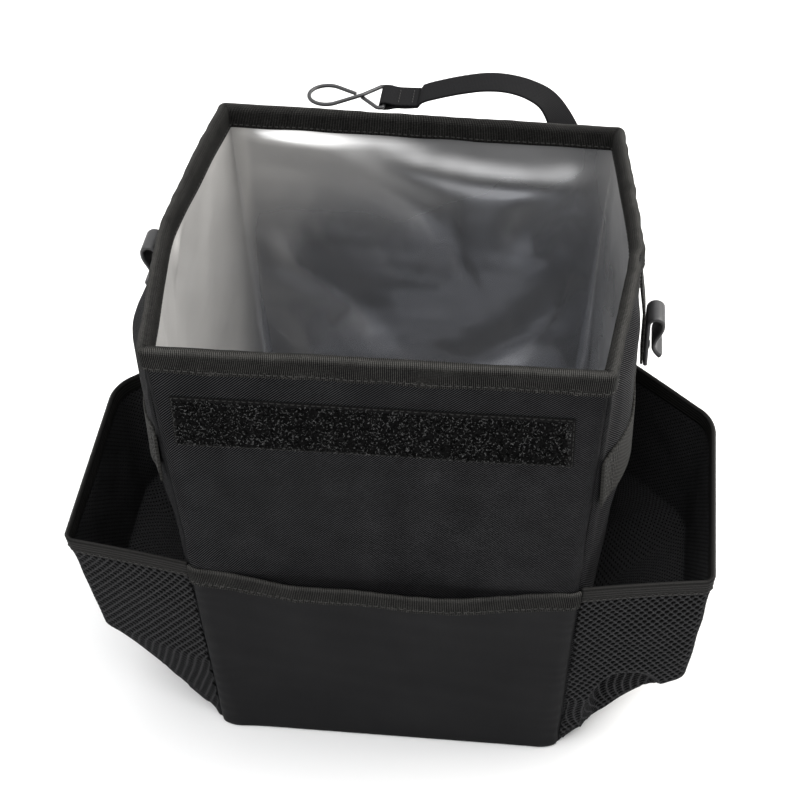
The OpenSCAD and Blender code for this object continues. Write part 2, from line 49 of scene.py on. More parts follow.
# Body, as in the solids
RIM_W, BASE_W = 230 * MM, 207 * MM
RIM_R, BASE_R = 3 * MM, 18 * MM
BODY_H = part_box("rim_binding")[1].z
HALF_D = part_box("back_panel")[1].y
BASE_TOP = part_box("front_panel")[0].z
WALL_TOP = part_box("front_panel")[1].z
RIM_FOLD, BASE_FOLD, BELLY = 11 * MM, 3 * MM, 8 * MM
FOLD_SOFT = 0.12
FABRIC_T = 0.9 * MM
LINER_DEPTH = 4.1 * MM
LINER_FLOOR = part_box("liner")[0].z + 0.6 * MM
SEAT = 0.2 * MM
SEAM_TURN = 50
INNER_R = 0.6 * MM
REAR_LIFT = 5.5 * MM

# Bindings
TAPE_T = 0.8 * MM
TAPE_H = 12.5 * MM
TAPE_OUT, TAPE_IN = -0.7 * MM, 4.9 * MM
TWIST_Y, TWIST_W, TWIST_H = -9 * MM, 9 * MM, 1.3 * MM
POCKET_TAPE_H = 12 * MM
ELASTIC_T, ELASTIC_H = 2.4 * MM, 9 * MM

# Pockets
POCKET_H, POCKET_SLACK, POCKET_SAG = 129 * MM, 7 * MM, 3 * MM
MESH_H, MESH_RISE, MESH_T = 129 * MM, 7 * MM, 1.2 * MM
MESH_OUT, MESH_LOW_OUT, MESH_LOW_H, MESH_TUCK = 66 * MM, 58 * MM, 57 * MM, 5 * MM

# Loop strip
STRIP_L, STRIP_H = 200 * MM, 32 * MM
STRIP_X, STRIP_Z = -2 * MM, BODY_H - 60 * MM

# Sewing
THREAD_LIFT = 0.05 * MM
ROW_POINTS = 12

# Webbing, clips and hook
WEBBING_T, HANDLE_W, HANDLE_Z = 1.5 * MM, 30 * MM, 207 * MM
CLIP_W, CLIP_H, CLIP_T, CLIP_BEND = 18 * MM, 32 * MM, 2.4 * MM, 3.9 * MM
STRAP_W, STRAP_T = 20 * MM, 1.4 * MM
BAR = np.array([-21.5, 124, 284.5]) * MM
WIRE_R, HOOK_L, HOOK_R = 1.15 * MM, 34 * MM, 10.5 * MM


def mix(a, b, t):
    """Straight blend from a to b."""
    return a + (b - a) * t


def ease(t, low=0.0, high=1.0):
    """Smooth step from 0 at low to 1 at high."""
    t = np.clip((t - low) / (high - low), 0, 1)
    return t * t * (3 - 2 * t)


def hill(t, centre, width):
    """Bell curve of height 1 round a centre."""
    return np.exp(-(((t - centre) / width) ** 2))


def unit(v):
    """Vectors made one long, along the last axis."""
    return v / np.maximum(np.linalg.norm(v, axis=-1, keepdims=True), 1e-12)


def ripple(place, wavelength, seed):
    """Uneven soft waves: a scaled sum of twelve sine waves with seeded directions and near lengths."""
    rng = np.random.default_rng(seed)
    directions = unit(rng.normal(size=(12, 3))) * rng.uniform(0.7, 1.4, (12, 1))
    phases = rng.uniform(0, 2 * np.pi, 12)
    return np.sin(place @ (directions.T * 2 * np.pi / wavelength) + phases).sum(-1) / 4


def half_width(z):
    """Half width of the body, growing evenly from base to rim."""
    return mix(BASE_W, RIM_W, z / BODY_H) / 2


def corner_radius(z):
    """Corner radius, shrinking evenly from base to rim."""
    return mix(BASE_R, RIM_R, z / BODY_H)


def fold_out(z):
    """Stand of a side's middle fold: an even blend plus half a sine wave of belly."""
    return mix(BASE_FOLD, RIM_FOLD, z / BODY_H) + BELLY * np.sin(np.pi * z / BODY_H)


def crease(t):
    """Cross section of a side from corner (-1 or 1) to its softly creased middle (0)."""
    return 1 - (np.sqrt(t * t + FOLD_SOFT**2) - FOLD_SOFT) / (math.sqrt(1 + FOLD_SOFT**2) - FOLD_SOFT)


def side_x(y, z, inward=0.0):
    """Distance of a side's face from the middle plane, for a layer that lies inward."""
    return half_width(z) - inward + fold_out(z) * crease(y / (HALF_D - corner_radius(z)))


def body_x(y, z, outward=0.0):
    """Like side_x, but it follows the round corners too, up to their seams."""
    r = corner_radius(z)
    over = np.maximum(np.abs(y) - (HALF_D - r), 0)
    arc = half_width(z) - r + np.sqrt(np.maximum((r + outward) ** 2 - over**2, 0))
    return np.where(over > 0, arc, side_x(y, z, -outward))


def seam_y(z):
    """Depth of the upright seams, part of the way round the corners."""
    r = corner_radius(z)
    return HALF_D - r + r * math.sin(math.radians(SEAM_TURN))


def wall_wave(place):
    """How far the board-backed walls swell outwards: long weak waves and a weaker short set."""
    return 0.5 * MM + 0.34 * MM * ripple(place, 90 * MM, 3) + 0.1 * MM * ripple(place, 28 * MM, 4)


def settled(points):
    """Points of the soft body as it stands, with its rear left corner pulled up by a share that
    grows with depth and height."""
    x, y, z = points[..., 0], points[..., 1], points[..., 2]
    made = points.copy()
    made[..., 2] += REAR_LIFT * ease(y, 0, HALF_D) * (HALF_D - x) / (2 * HALF_D) * (z / BODY_H) ** 2
    return made


def corner(side, depth, start, inward, z, steps, sweep_angle=90):
    """Part of the circle round a body corner at heights z, from the start angle anticlockwise. A
    layer inside a tight corner keeps a small radius of its own."""
    r = np.maximum(corner_radius(z) - inward, INNER_R)[:, None]
    turn = np.radians(start + sweep_angle * np.linspace(0, 1, steps))
    x = side * (half_width(z)[:, None] - inward - r) + r * np.cos(turn)
    y = depth * (HALF_D - inward - r) + r * np.sin(turn)
    return np.stack([x, y, np.broadcast_to(z[:, None], x.shape)], -1)


def joined(parts):
    """Stretches of outline put end to end, each without its first column."""
    return np.concatenate([parts[0]] + [p[:, 1:] for p in parts[1:]], 1)


def straight(a, b, steps):
    """Straight run between the columns a and b."""
    t = np.linspace(0, 1, steps)[None, :, None]
    return mix(a[:, None], b[:, None], t)


def face_line(depth, z, inward=0.0, arc=9, run=120):
    """Front (depth -1) or back (1) stretch of the outline: corner arc, straight wall, corner arc."""
    share = 90 - SEAM_TURN
    first = corner(depth, depth, (180 if depth < 0 else 0) + SEAM_TURN, inward, z, arc, share)
    last = corner(-depth, depth, 270 if depth < 0 else 90, inward, z, arc, share)
    return joined([first, straight(first[:, -1], last[:, 0], run), last])


def side_line(z, inward=0.0, steps=90):
    """Right side of the outline from seam to seam: corner arc, creased middle, corner arc."""
    arc = 7
    t = np.linspace(-1, 1, steps)[None]
    zz = np.broadcast_to(z[:, None], (len(z), steps))
    y = t * (HALF_D - np.maximum(corner_radius(zz), inward + INNER_R))
    first = corner(1, -1, 360 - SEAM_TURN, inward, z, arc, SEAM_TURN)
    last = corner(1, 1, 0, inward, z, arc, SEAM_TURN)
    return joined([first, np.stack([side_x(y, zz, inward), y, zz], -1), last])


def mirrored(points):
    """Grid mirrored to the left side, with its columns turned round so that faces still point out."""
    return points[:, ::-1] * np.array([-1, 1, 1])


def outline(z, inward=0.0, arc=9, run=120, side=90):
    """Closed outline of the body at heights z, anticlockwise from the left front corner."""
    right = side_line(z, inward, side)
    ring = joined([face_line(-1, z, inward, arc, run), right, face_line(1, z, inward, arc, run),
                   mirrored(right)])
    return ring[:, :-1]


def normals(points, wrap=False):
    """Unit normals of a grid: the cross product of its slopes along columns and rows."""
    if wrap:
        wide = np.concatenate([points[:, -2:], points, points[:, :2]], 1)
        across = np.gradient(wide, axis=1)[:, 2:-2]
    else:
        across = np.gradient(points, axis=1)
    return unit(np.cross(across, np.gradient(points, axis=0)))


def lengths(line):
    """Distance along a line of points."""
    return np.concatenate([[0], np.cumsum(np.linalg.norm(np.diff(line, axis=0), axis=1))])


def looped(line):
    """A line with its first point again at its end."""
    return np.vstack([line, line[:1]])


def smoothed(line, count):
    """Running mean over count points, with the end values held beyond both ends."""
    share = np.ones(count) / count
    return np.apply_along_axis(
        lambda run: np.convolve(np.pad(run, count // 2, "edge"), share, "valid"), 0, line)


def from_edge(points):
    """Distance of each point of a grid from the nearer end of its row."""
    run = np.array([lengths(row) for row in points])
    return np.minimum(run, run[:, -1:] - run)


def handed(left):
    """Name of a side, and the factors that bring right-hand places to it."""
    return ("left", np.array([-1, 1, 1])) if left else ("right", np.array([1, 1, 1]))


def resample(line, count):
    """The same line with its points evenly spaced."""
    run = lengths(line)
    at = np.linspace(0, run[-1], count)
    return np.stack([np.interp(at, run, line[:, k]) for k in range(line.shape[1])], -1)


def flowing(points, count):
    """Smooth line through given points: Catmull-Rom pieces, then even spacing."""
    p = np.vstack([2 * points[0] - points[1], points, 2 * points[-1] - points[-2]])
    t = np.linspace(0, 1, 17)[:-1, None]
    pieces = [
        0.5 * (2 * b + (c - a) * t + (2 * a - 5 * b + 4 * c - d) * t**2
               + (3 * b - a - 3 * c + d) * t**3)
        for a, b, c, d in zip(p[:-3], p[1:-2], p[2:-1], p[3:])
    ]
    return resample(np.vstack(pieces + [points[-1:]]), count)


def make_object(name, vertices, faces, uv=None):
    """Object with a smooth-shaded mesh. uv holds one pair for each corner of each face."""
    mesh = bpy.data.meshes.new(name)
    mesh.from_pydata(np.asarray(vertices, float), [], faces)
    if uv is not None:
        layer = mesh.uv_layers.new(name="UVMap")
        layer.data.foreach_set("uv", np.asarray(uv, np.float32).ravel())
    mesh.shade_smooth()
    mesh.update()
    made = bpy.data.objects.new(name, mesh)
    bpy.context.scene.collection.objects.link(made)
    return made


def quads_of(rows, cols, wrap):
    """Corner numbers of the quads that join a grid's neighbours."""
    index = np.arange(rows * cols).reshape(rows, cols)
    if wrap:
        index = np.hstack([index, index[:, :1]])
    return np.stack([index[:-1, :-1], index[:-1, 1:], index[1:, 1:], index[1:, :-1]], -1).reshape(-1, 4)


def grid_uv(points, wrap=False):
    """Distances along the middle row and up the middle column, in millimetres."""
    line = points[points.shape[0] // 2]
    u = lengths(looped(line) if wrap else line)
    v = lengths(points[:, points.shape[1] // 2])
    return np.stack(np.meshgrid(u, v), -1) / MM


def surface(name, points, uv=None, wrap=False, flip=False, caps=()):
    """Mesh of a grid of points: rows run up and columns anticlockwise, so faces point outwards."""
    rows, cols = points.shape[:2]
    quads = quads_of(rows, cols, wrap)
    if uv is None:
        uv = grid_uv(points, wrap)
    corners = quads_of(uv.shape[0], uv.shape[1], False)
    if flip:
        quads, corners = quads[:, ::-1], corners[:, ::-1]
    flat_uv = uv.reshape(-1, 2)
    faces, corner_uv = quads.tolist(), flat_uv[corners.ravel()]
    ends = {"first": list(range(cols))[::-1], "last": list(range((rows - 1) * cols, rows * cols))}
    for end in caps:
        faces.append(ends[end])
        corner_uv = np.vstack([corner_uv, flat_uv[np.array(ends[end]) % len(flat_uv)]])
    return make_object(name, points.reshape(-1, 3), faces, corner_uv)


def thicken(made, thickness, offset=-1.0):
    """Wall of a sheet, grown to the side that offset names."""
    wall = made.modifiers.new("wall", "SOLIDIFY")
    wall.thickness = thickness
    wall.offset = offset
    return made


def band_section(width, thick, arc=4, flat=6):
    """Closed section of a strap: a flat band with round edges, as (across, up) pairs."""
    r = thick / 2
    turn = np.linspace(-90, 90, arc * 2 + 1)
    right = np.stack([width / 2 - r + r * np.cos(np.radians(turn)), r * np.sin(np.radians(turn))], -1)
    top = np.stack([np.linspace(width / 2 - r, r - width / 2, flat + 2)[1:-1], np.full(flat, r)], -1)
    return np.vstack([right, top, -right, -top])


def round_section(radius, sides=12):
    """Closed circle as (across, up) pairs."""
    turn = 2 * np.pi * np.arange(sides) / sides
    return np.stack([radius * np.cos(turn), radius * np.sin(turn)], -1)


def sweep(name, path, across, section):
    """Solid of a section carried along a path, with the section's first axis along across."""
    along = unit(np.gradient(path, axis=0))
    across = unit(across - along * (across * along).sum(-1, keepdims=True))
    up = np.cross(along, across)
    points = path[:, None] + across[:, None] * section[None, :, :1] + up[:, None] * section[None, :, 1:]
    u = lengths(path) / MM
    v = np.append(section[:, 0], section[0, 0]) / MM
    uv = np.stack(np.meshgrid(v, u), -1)[:, :, ::-1]
    return surface(name, points, uv, wrap=True, caps=("first", "last"))


STITCH_RINGS = np.array([-0.5, -0.3, 0.0, 0.3, 0.5])
STITCH_GIRTH = np.array([0.45, 0.9, 1.0, 0.9, 0.45])
STITCH_LIFT = np.array([-0.9, 0.25, 0.55, 0.25, -0.9])
STITCH_GAP, STITCH_R, STITCH_UNEVEN = 0.9 * MM, 0.33 * MM, 0.2


def stitches(name, rows, length=2.5 * MM, seed=1):
    """Rows of sewing: bent threads of four sides, that dip into the cloth at both ends. Each row is a
    line of points with the cloth's outward direction at each."""
    rng = np.random.default_rng(seed)
    sides = 4
    turn = 2 * np.pi * (np.arange(sides) + 0.5) / sides
    made_points, made_faces, count = [], [], 0
    for line, out in rows:
        run = lengths(line)
        middles = np.arange(length, run[-1] - length / 2, length + STITCH_GAP)
        middles = middles + rng.normal(0, STITCH_UNEVEN * STITCH_GAP, len(middles))
        at = middles[:, None] + STITCH_RINGS[None] * length
        centre = np.stack([np.interp(at, run, line[:, k]) for k in range(3)], -1)
        away = unit(np.stack([np.interp(at, run, out[:, k]) for k in range(3)], -1))
        along = unit(np.gradient(centre, axis=1))
        aside = np.cross(along, away)
        skew = rng.normal(0, STITCH_UNEVEN * STITCH_R, len(middles))[:, None, None]
        lift = away * (STITCH_LIFT * STITCH_R)[None, :, None]
        centre = centre + lift + aside * skew * STITCH_RINGS[:, None] * 3
        girth = (STITCH_GIRTH * STITCH_R)[None, :, None, None]
        ring = (centre[:, :, None] + away[:, :, None] * girth * np.sin(turn)[:, None]
                + aside[:, :, None] * girth * np.cos(turn)[:, None])
        total, rings = len(middles), len(STITCH_RINGS)
        faces = quads_of(rings, sides, True)[:, ::-1]
        faces = faces[None] + (count + np.arange(total) * rings * sides)[:, None, None]
        made_points.append(ring.reshape(-1, 3))
        made_faces.append(faces.reshape(-1, 4))
        count += total * rings * sides
    return make_object(name, np.vstack(made_points), np.vstack(made_faces).tolist())


def short_row(spot, out, across, reach):
    """Row of sewing across a band, over reach to both sides of a spot on its face."""
    line = spot + np.linspace(-reach, reach, ROW_POINTS)[:, None] * across
    return line, np.tile(out, (ROW_POINTS, 1))


class Value:
    """A number that varies over a surface. Arithmetic on it adds Math nodes to its finish."""

    def __init__(self, finish, socket):
        self.finish = finish
        self.socket = socket

    def __add__(self, other):
        return self.finish.math("ADD", self, other)

    def __radd__(self, other):
        return self.finish.math("ADD", other, self)

    def __sub__(self, other):
        return self.finish.math("SUBTRACT", self, other)

    def __rsub__(self, other):
        return self.finish.math("SUBTRACT", other, self)

    def __mul__(self, other):
        return self.finish.math("MULTIPLY", self, other)

    def __rmul__(self, other):
        return self.finish.math("MULTIPLY", other, self)

    def __pow__(self, other):
        return self.finish.math("POWER", self, other)

    def __rpow__(self, other):
        return self.finish.math("POWER", other, self)

    def wave(self, pitch):
        """Sine wave from 0 to 1 that repeats with the pitch."""
        return self.finish.math("SINE", self * (2 * math.pi / pitch)) * 0.5 + 0.5

    def clip(self, low=0.0, high=1.0):
        """The number held between two limits."""
        return self.finish.math("MINIMUM", self.finish.math("MAXIMUM", self, low), high)

    def step(self, low, high):
        """Smooth step from 0 at low to 1 at high."""
        made = self.finish.node("ShaderNodeMapRange", {"interpolation_type": "SMOOTHSTEP"},
                                {"Value": self, "From Min": low, "From Max": high})
        return Value(self.finish, made.outputs["Result"])


class Finish:
    """A material with one Principled shader, whose nodes are all made by one method."""

    def __init__(self, name, **constants):
        self.material = bpy.data.materials.new(name)
        self.material.use_nodes = True
        self.tree = self.material.node_tree
        self.tree.nodes.clear()
        self.shader = self.node("ShaderNodeBsdfPrincipled")
        output = self.node("ShaderNodeOutputMaterial")
        self.tree.links.new(self.shader.outputs["BSDF"], output.inputs["Surface"])
        for key, value in constants.items():
            self.shader.inputs[key.replace("_", " ")].default_value = value

    def node(self, kind, settings=None, inputs=None):
        """A node with its settings made first, then the values or links of its sockets."""
        made = self.tree.nodes.new(kind)
        for key, value in (settings or {}).items():
            setattr(made, key, value)
        for key, value in (inputs or {}).items():
            self.feed(made.inputs[key], value)
        return made

    def feed(self, socket, value):
        """Links a value to a socket, or sets it there."""
        if isinstance(value, Value):
            value = value.socket
        if isinstance(value, bpy.types.NodeSocket):
            self.tree.links.new(value, socket)
        elif hasattr(value, "__len__") and len(value) == 3 and len(socket.default_value) == 4:
            socket.default_value = (*value, 1)
        else:
            socket.default_value = value

    def math(self, operation, *values):
        """One Math node."""
        made = self.node("ShaderNodeMath", {"operation": operation}, dict(enumerate(values)))
        return Value(self, made.outputs[0])

    def place(self):
        """Object coordinates, in metres."""
        return self.node("ShaderNodeTexCoord").outputs["Object"]

    def cloth(self):
        """The piece's own two directions, in millimetres."""
        split = self.node("ShaderNodeSeparateXYZ", None, {0: self.node("ShaderNodeUVMap").outputs["UV"]})
        return Value(self, split.outputs["X"]), Value(self, split.outputs["Y"])

    def noise(self, size, detail=2.0, rough=0.5, stretch=None):
        """Noise from 0 to 1 whose spots are about size metres across."""
        place = self.place()
        if stretch:
            place = self.node("ShaderNodeMapping", None, {"Vector": place, "Scale": stretch}).outputs[0]
        made = self.node("ShaderNodeTexNoise", None, {"Vector": place, "Scale": 1 / size, "Detail": detail,
                                                      "Roughness": rough})
        return Value(self, made.outputs["Fac"])

    def blend(self, share, a, b):
        """Colour blended from a to b."""
        made = self.node("ShaderNodeMix", {"data_type": "RGBA"}, {"Factor": share})
        self.feed(made.inputs[6], a)
        self.feed(made.inputs[7], b)
        return made.outputs[2]

    def dress(self, colour=None, roughness=None, height=None, depth=0.1 * MM, strength=1.0, **others):
        """Links what varies over the surface to the shader."""
        if colour is not None:
            self.feed(self.shader.inputs["Base Color"], colour)
        if roughness is not None:
            self.feed(self.shader.inputs["Roughness"], roughness)
        if height is not None:
            bump = self.node("ShaderNodeBump", None,
                             {"Height": height, "Distance": depth, "Strength": strength})
            self.feed(self.shader.inputs["Normal"], bump.outputs["Normal"])
        for key, value in others.items():
            self.feed(self.shader.inputs[key], value)
        return self.material


def twill_finish():
    """Heavy black twill: diagonal cords 1.5 mm apart, each broken into yarns, with lighter tops from wear.
    """
    f = Finish("black_twill", Specular_IOR_Level=0.02)
    u, v = f.cloth()
    cord = (u - v * 1.05).wave(1.5) ** 1.5
    yarn = (u + v * 0.9).wave(0.75)
    patch = f.noise(18 * MM, 3)
    fleck = f.noise(0.9 * MM, 2)
    height = cord * 0.75 + yarn * cord * 0.25
    tone = (height * 1.2 + fleck * 0.7 + patch * 0.5 - 0.75).clip(0, 1.2)
    colour = f.blend(tone, (0.0004, 0.0004, 0.0005), (0.045, 0.045, 0.0472))
    return f.dress(colour, 0.66 + patch * 0.14 - cord * 0.1, height + fleck * 0.3, 0.3 * MM)


def satin_finish():
    """Smoother black cloth of fine close yarns with a soft even sheen."""
    f = Finish("black_satin", Specular_IOR_Level=0.06)
    u, v = f.cloth()
    weave = u.wave(0.62) * 0.5 + v.wave(0.5) * 0.5
    streak = f.noise(3 * MM, 3, stretch=(1, 1, 0.12))
    patch = f.noise(40 * MM, 2)
    fleck = f.noise(0.8 * MM, 2)
    tone = (weave * 0.25 + streak * 0.35 + patch * 0.4 + fleck * 0.4 - 0.2).clip()
    colour = f.blend(tone, (0.002, 0.002, 0.0023), (0.013, 0.013, 0.0138))
    return f.dress(colour, 0.52 + streak * 0.12, weave + streak * 0.6, 0.07 * MM)


def tape_finish():
    """Ribbed binding tape: ribs across it 1 mm apart, dustier on their tops, with a painted highlight
    along its fold.
    """
    f = Finish("ribbed_tape", Specular_IOR_Level=0.06)
    u, v = f.cloth()
    rib = u.wave(0.95)
    cross = v.wave(0.9)
    fibre = f.noise(0.6 * MM, 3)
    patch = f.noise(9 * MM, 3)
    # Painted highlight: a paler band along the tape's top fold.
    painted_fold_highlight = v.step(9.5, 12) * (1 - v.step(12.5, 15))
    speck = f.noise(0.9 * MM, 1).step(0.58, 0.72) * (1 - v.step(2.5, 5))
    tone = rib * 0.55 + cross * rib * 0.25 + fibre * 0.7 + patch * 0.3 - 0.78 + painted_fold_highlight * 0.32 + speck * 0.6
    colour = f.blend(tone.clip(), (0.001, 0.001, 0.001), (0.088, 0.086, 0.081))
    return f.dress(colour, 0.75 + fibre * 0.15, rib + fibre * 0.5, 0.22 * MM)


def webbing_finish(name, dark, light, rib_pitch, ridge_pitch, depth):
    """Woven webbing: ribs across it, crossed by the lines of its warp."""
    f = Finish(name, Specular_IOR_Level=0.07)
    u, v = f.cloth()
    weave = u.wave(rib_pitch) * 0.5 + (v + u * 0.5).wave(ridge_pitch) * 0.5
    fibre = f.noise(0.8 * MM, 3)
    tone = (weave * 0.6 + fibre * 0.6 - 0.2).clip()
    return f.dress(f.blend(tone, dark, light), 0.66 + fibre * 0.15, weave + fibre * 0.4, depth)


def elastic_finish():
    """Elastic tape with fine lengthwise ridges and short cross ribs."""
    f = Finish("elastic_tape", Specular_IOR_Level=0.09)
    u, v = f.cloth()
    ridge = v.wave(1.9)
    rib = u.wave(0.8)
    fibre = f.noise(0.9 * MM, 2)
    tone = (ridge * 0.4 + rib * 0.2 + fibre * 0.5 - 0.1).clip()
    colour = f.blend(tone, (0.0025, 0.0025, 0.0024), (0.026, 0.025, 0.024))
    return f.dress(colour, 0.62 + fibre * 0.12, ridge + rib * 0.25, 0.25 * MM)


def mesh_finish():
    """Knitted mesh: soft strands, with painted shade that makes their holes near black; the lift attribute
    carries it.
    """
    f = Finish("knitted_mesh", Specular_IOR_Level=0.07)
    lift = f.node("ShaderNodeAttribute", {"attribute_name": "lift"})
    lift = Value(f, lift.outputs["Fac"])
    fibre = f.noise(0.6 * MM, 3)
    # Painted shade: lift is lower down each hole and zero on its floor.
    tone = (lift * (fibre * 1.9 - 0.35)).clip()
    colour = f.blend(tone, (0.0003, 0.0003, 0.0003), (0.052, 0.052, 0.054))
    return f.dress(colour, 0.7 + fibre * 0.15, fibre, 0.18 * MM)


def mesh_back_finish():
    """Closer inner face of the mesh: small staggered eyelets in a fine knit."""
    f = Finish("knitted_mesh_back", Specular_IOR_Level=0.07)
    u, v = f.cloth()
    eyelet = ((u + v).wave(3.2) * (u - v).wave(3.2)).step(0.35, 0.75)
    fibre = f.noise(0.7 * MM, 3)
    tone = ((1 - eyelet) * (fibre * 1.6 - 0.2)).clip()
    colour = f.blend(tone, (0.0004, 0.0004, 0.0004), (0.05, 0.05, 0.052))
    return f.dress(colour, 0.7 + fibre * 0.15, fibre * 0.4 - eyelet, 0.3 * MM)


def pile_finish(name, light, selvedge=False):
    """Black looped pile, dark in its depth, with flat paler selvedges where it has them."""
    f = Finish(name, Specular_IOR_Level=0.03)
    spot = f.noise(1.3 * MM, 2)
    tone = spot.step(0.45, 0.75)
    if selvedge:
        u, v = f.cloth()
        near = [u, STRIP_L / MM - u, v, STRIP_H / MM - v]
        while len(near) > 1:
            near = [f.math("MINIMUM", near[0], near[1])] + near[2:]
        edge = 1 - near[0].step(1.2, 2.2)
        tone = (tone + edge * (0.7 + spot * 0.8)).clip()
    colour = f.blend(tone, (0.0006, 0.0006, 0.0006), (light, light, light))
    return f.dress(colour, 0.55 + spot * 0.2, spot, 0.5 * MM)


def film_finish():
    """Silver-grey lining film: a soft mirror, paler by painted light and more matt on the left wall, less
    on the right wall, and in a band under the rim, there more towards the left."""
    f = Finish("lining_film", Specular_IOR_Level=0.5, IOR=1.5)
    haze = f.noise(70 * MM, 2)
    crease = f.noise(7 * MM, 1, 0.4, stretch=(1, 1, 0.3))
    split = f.node("ShaderNodeSeparateXYZ", None, {0: f.place()})
    across, height = Value(f, split.outputs["X"]), Value(f, split.outputs["Z"])
    leftward = across * -1
    # Painted light: the whole left wall, and the right wall a little.
    sides = leftward.step(97 * MM, 110 * MM) + across.step(99 * MM, 112 * MM) * 0.3
    # Painted light in a band under the rim, stronger towards the left.
    painted_rim_light = haze * 0.4 + leftward.step(-50 * MM, 90 * MM) * 0.45 + 0.06
    painted_light_matt = (sides + height.step(192 * MM, 250 * MM) * painted_rim_light).clip()
    # The film's own colour, where no light is painted.
    smooth = f.blend(haze, (0.3, 0.31, 0.33), (0.42, 0.42, 0.43))
    colour = f.blend(painted_light_matt, smooth, (0.55, 0.54, 0.525))
    return f.dress(colour, 0.17 + haze * 0.12 + painted_light_matt * 0.18, crease, 0.12 * MM, 0.35,
                   Metallic=0.9 - painted_light_matt * 0.42)


def plastic_finish():
    """Dark moulded plastic with a faint fine grain and rubbed spots."""
    f = Finish("clip_plastic", Specular_IOR_Level=0.4)
    grain = f.noise(0.35 * MM, 2)
    rub = f.noise(4 * MM, 4)
    colour = f.blend(rub, (0.014, 0.014, 0.015), (0.035, 0.035, 0.036))
    return f.dress(colour, 0.36 + rub * 0.16, grain, 0.03 * MM)


def metal_finish(name, dark, light, rough, metallic):
    """Coated metal with slight wear."""
    f = Finish(name, Metallic=metallic)
    rub = f.noise(2.5 * MM, 4)
    return f.dress(f.blend(rub, dark, light), rough + rub * 0.15, rub, 0.03 * MM)


def board_finish():
    """Plain pressed board with fibres."""
    f = Finish("pressed_board", Specular_IOR_Level=0.3)
    fibre = f.noise(1.5 * MM, 5, 0.7)
    colour = f.blend(fibre, (0.42, 0.38, 0.31), (0.62, 0.58, 0.5))
    return f.dress(colour, 0.8 + fibre * 0.1, fibre, 0.1 * MM)


def thread_finish(name, light):
    """Dark polyester thread with paler twists."""
    f = Finish(name, Specular_IOR_Level=0.2)
    twist = f.noise(0.3 * MM, 2)
    colour = f.blend(twist, (0.008, 0.0078, 0.0075), (light, light * 0.97, light * 0.92))
    return f.dress(colour, 0.5 + twist * 0.2, twist, 0.05 * MM)


TWILL = twill_finish()
SATIN = satin_finish()
TAPE = tape_finish()
WEBBING = webbing_finish("ribbed_webbing", (0.001, 0.001, 0.0009), (0.042, 0.041, 0.038),
                         2.1, 2.3, 0.4 * MM)
STRAP = webbing_finish("strap_webbing", (0.0022, 0.0022, 0.0025), (0.0105, 0.0105, 0.0112),
                       0.8, 1.3, 0.12 * MM)
ELASTIC = elastic_finish()
MESH = mesh_finish()
MESH_BACK = mesh_back_finish()
PILE = pile_finish("loop_pile", 0.006, True)
LOOPS = pile_finish("pile_loops", 0.15)
FILM = film_finish()
PLASTIC = plastic_finish()
HOOK_METAL = metal_finish("hook_wire", (0.012, 0.012, 0.013), (0.04, 0.04, 0.042), 0.36, 0.3)
RIVET_METAL = metal_finish("rivet_metal", (0.12, 0.12, 0.13), (0.3, 0.3, 0.31), 0.35, 0.9)
BOARD = board_finish()
THREAD = thread_finish("sewing_thread", 0.05)
BLACK_THREAD = thread_finish("black_thread", 0.022)


def finish_piece(made, material, replaces=(), body="bin"):
    """Gives a new piece its material, its body and the nodes that it stands for."""
    made.data.materials.append(material)
    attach(made, body)
    if replaces:
        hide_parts(*replaces)
    return made


SEAM_DEPTH, SEAM_W = 1.1 * MM, 1.6 * MM
PUCKER_DEPTH, PUCKER_PITCH, PUCKER_REACH = 0.16 * MM, 9 * MM, 9 * MM


def sewn_edges(points, out):
    """Sinks both upright edges of a panel into their seams, with small puckers beside them."""
    edge = from_edge(points)
    dip = -SEAM_DEPTH * np.exp(-((edge / SEAM_W) ** 2))
    z = points[..., 2]
    pucker = PUCKER_DEPTH * np.sin(2 * np.pi * z / PUCKER_PITCH + 3 * ripple(points, 40 * MM, 9))
    pucker = pucker * np.exp(-edge / PUCKER_REACH) * ease(edge, 0, 2 * MM)
    return points + out * (dip + pucker)[..., None]


def pocket_shadow_creases(points):
    """Shallow slanting creases of the front wall just above the pocket."""
    x, z = points[..., 0], points[..., 2]
    left = hill(z + 0.25 * x, 112 * MM, 7 * MM) * ease(-x, 10 * MM, 60 * MM)
    right = hill(z - 0.3 * x, 118 * MM, 9 * MM) * ease(x, 0, 60 * MM)
    return 1.0 * MM * left + 0.8 * MM * right


def wall_cloth(name, points, creases=0.0, lean=1):
    """One wall of the outer cloth, on the shared waves of the walls. Its cords lean the other way
    where lean is negative, and more steeply below -1."""
    out = normals(points)
    points = points + out * (wall_wave(points) + creases)[..., None]
    points = settled(sewn_edges(points, out))
    made = thicken(surface(name, points, grid_uv(points) * np.array([lean, 1])), FABRIC_T)
    return made, points


WALL_ROWS = np.linspace(BASE_TOP, WALL_TOP, 120)
LEFT_FULL, RIGHT_FULL = 8.5 * MM, 6.5 * MM
FULL_Y, FULL_SPREAD = -68 * MM, 24 * MM
SIDE_LEAN = -1.15


def fullness(y, z, size):
    """How far a side wall puffs out near its front edge: size * exp(-((y - FULL_Y) / FULL_SPREAD)^2 / 2),
    fading towards the rim, the mesh pocket and the seam."""
    return (size * np.exp(-(((y - FULL_Y) / FULL_SPREAD) ** 2) / 2)
            * ease(z, 110 * MM, 190 * MM) * ease(WALL_TOP - z, 0, 16 * MM)
            * ease(y + seam_y(z), 1 * MM, 18 * MM))


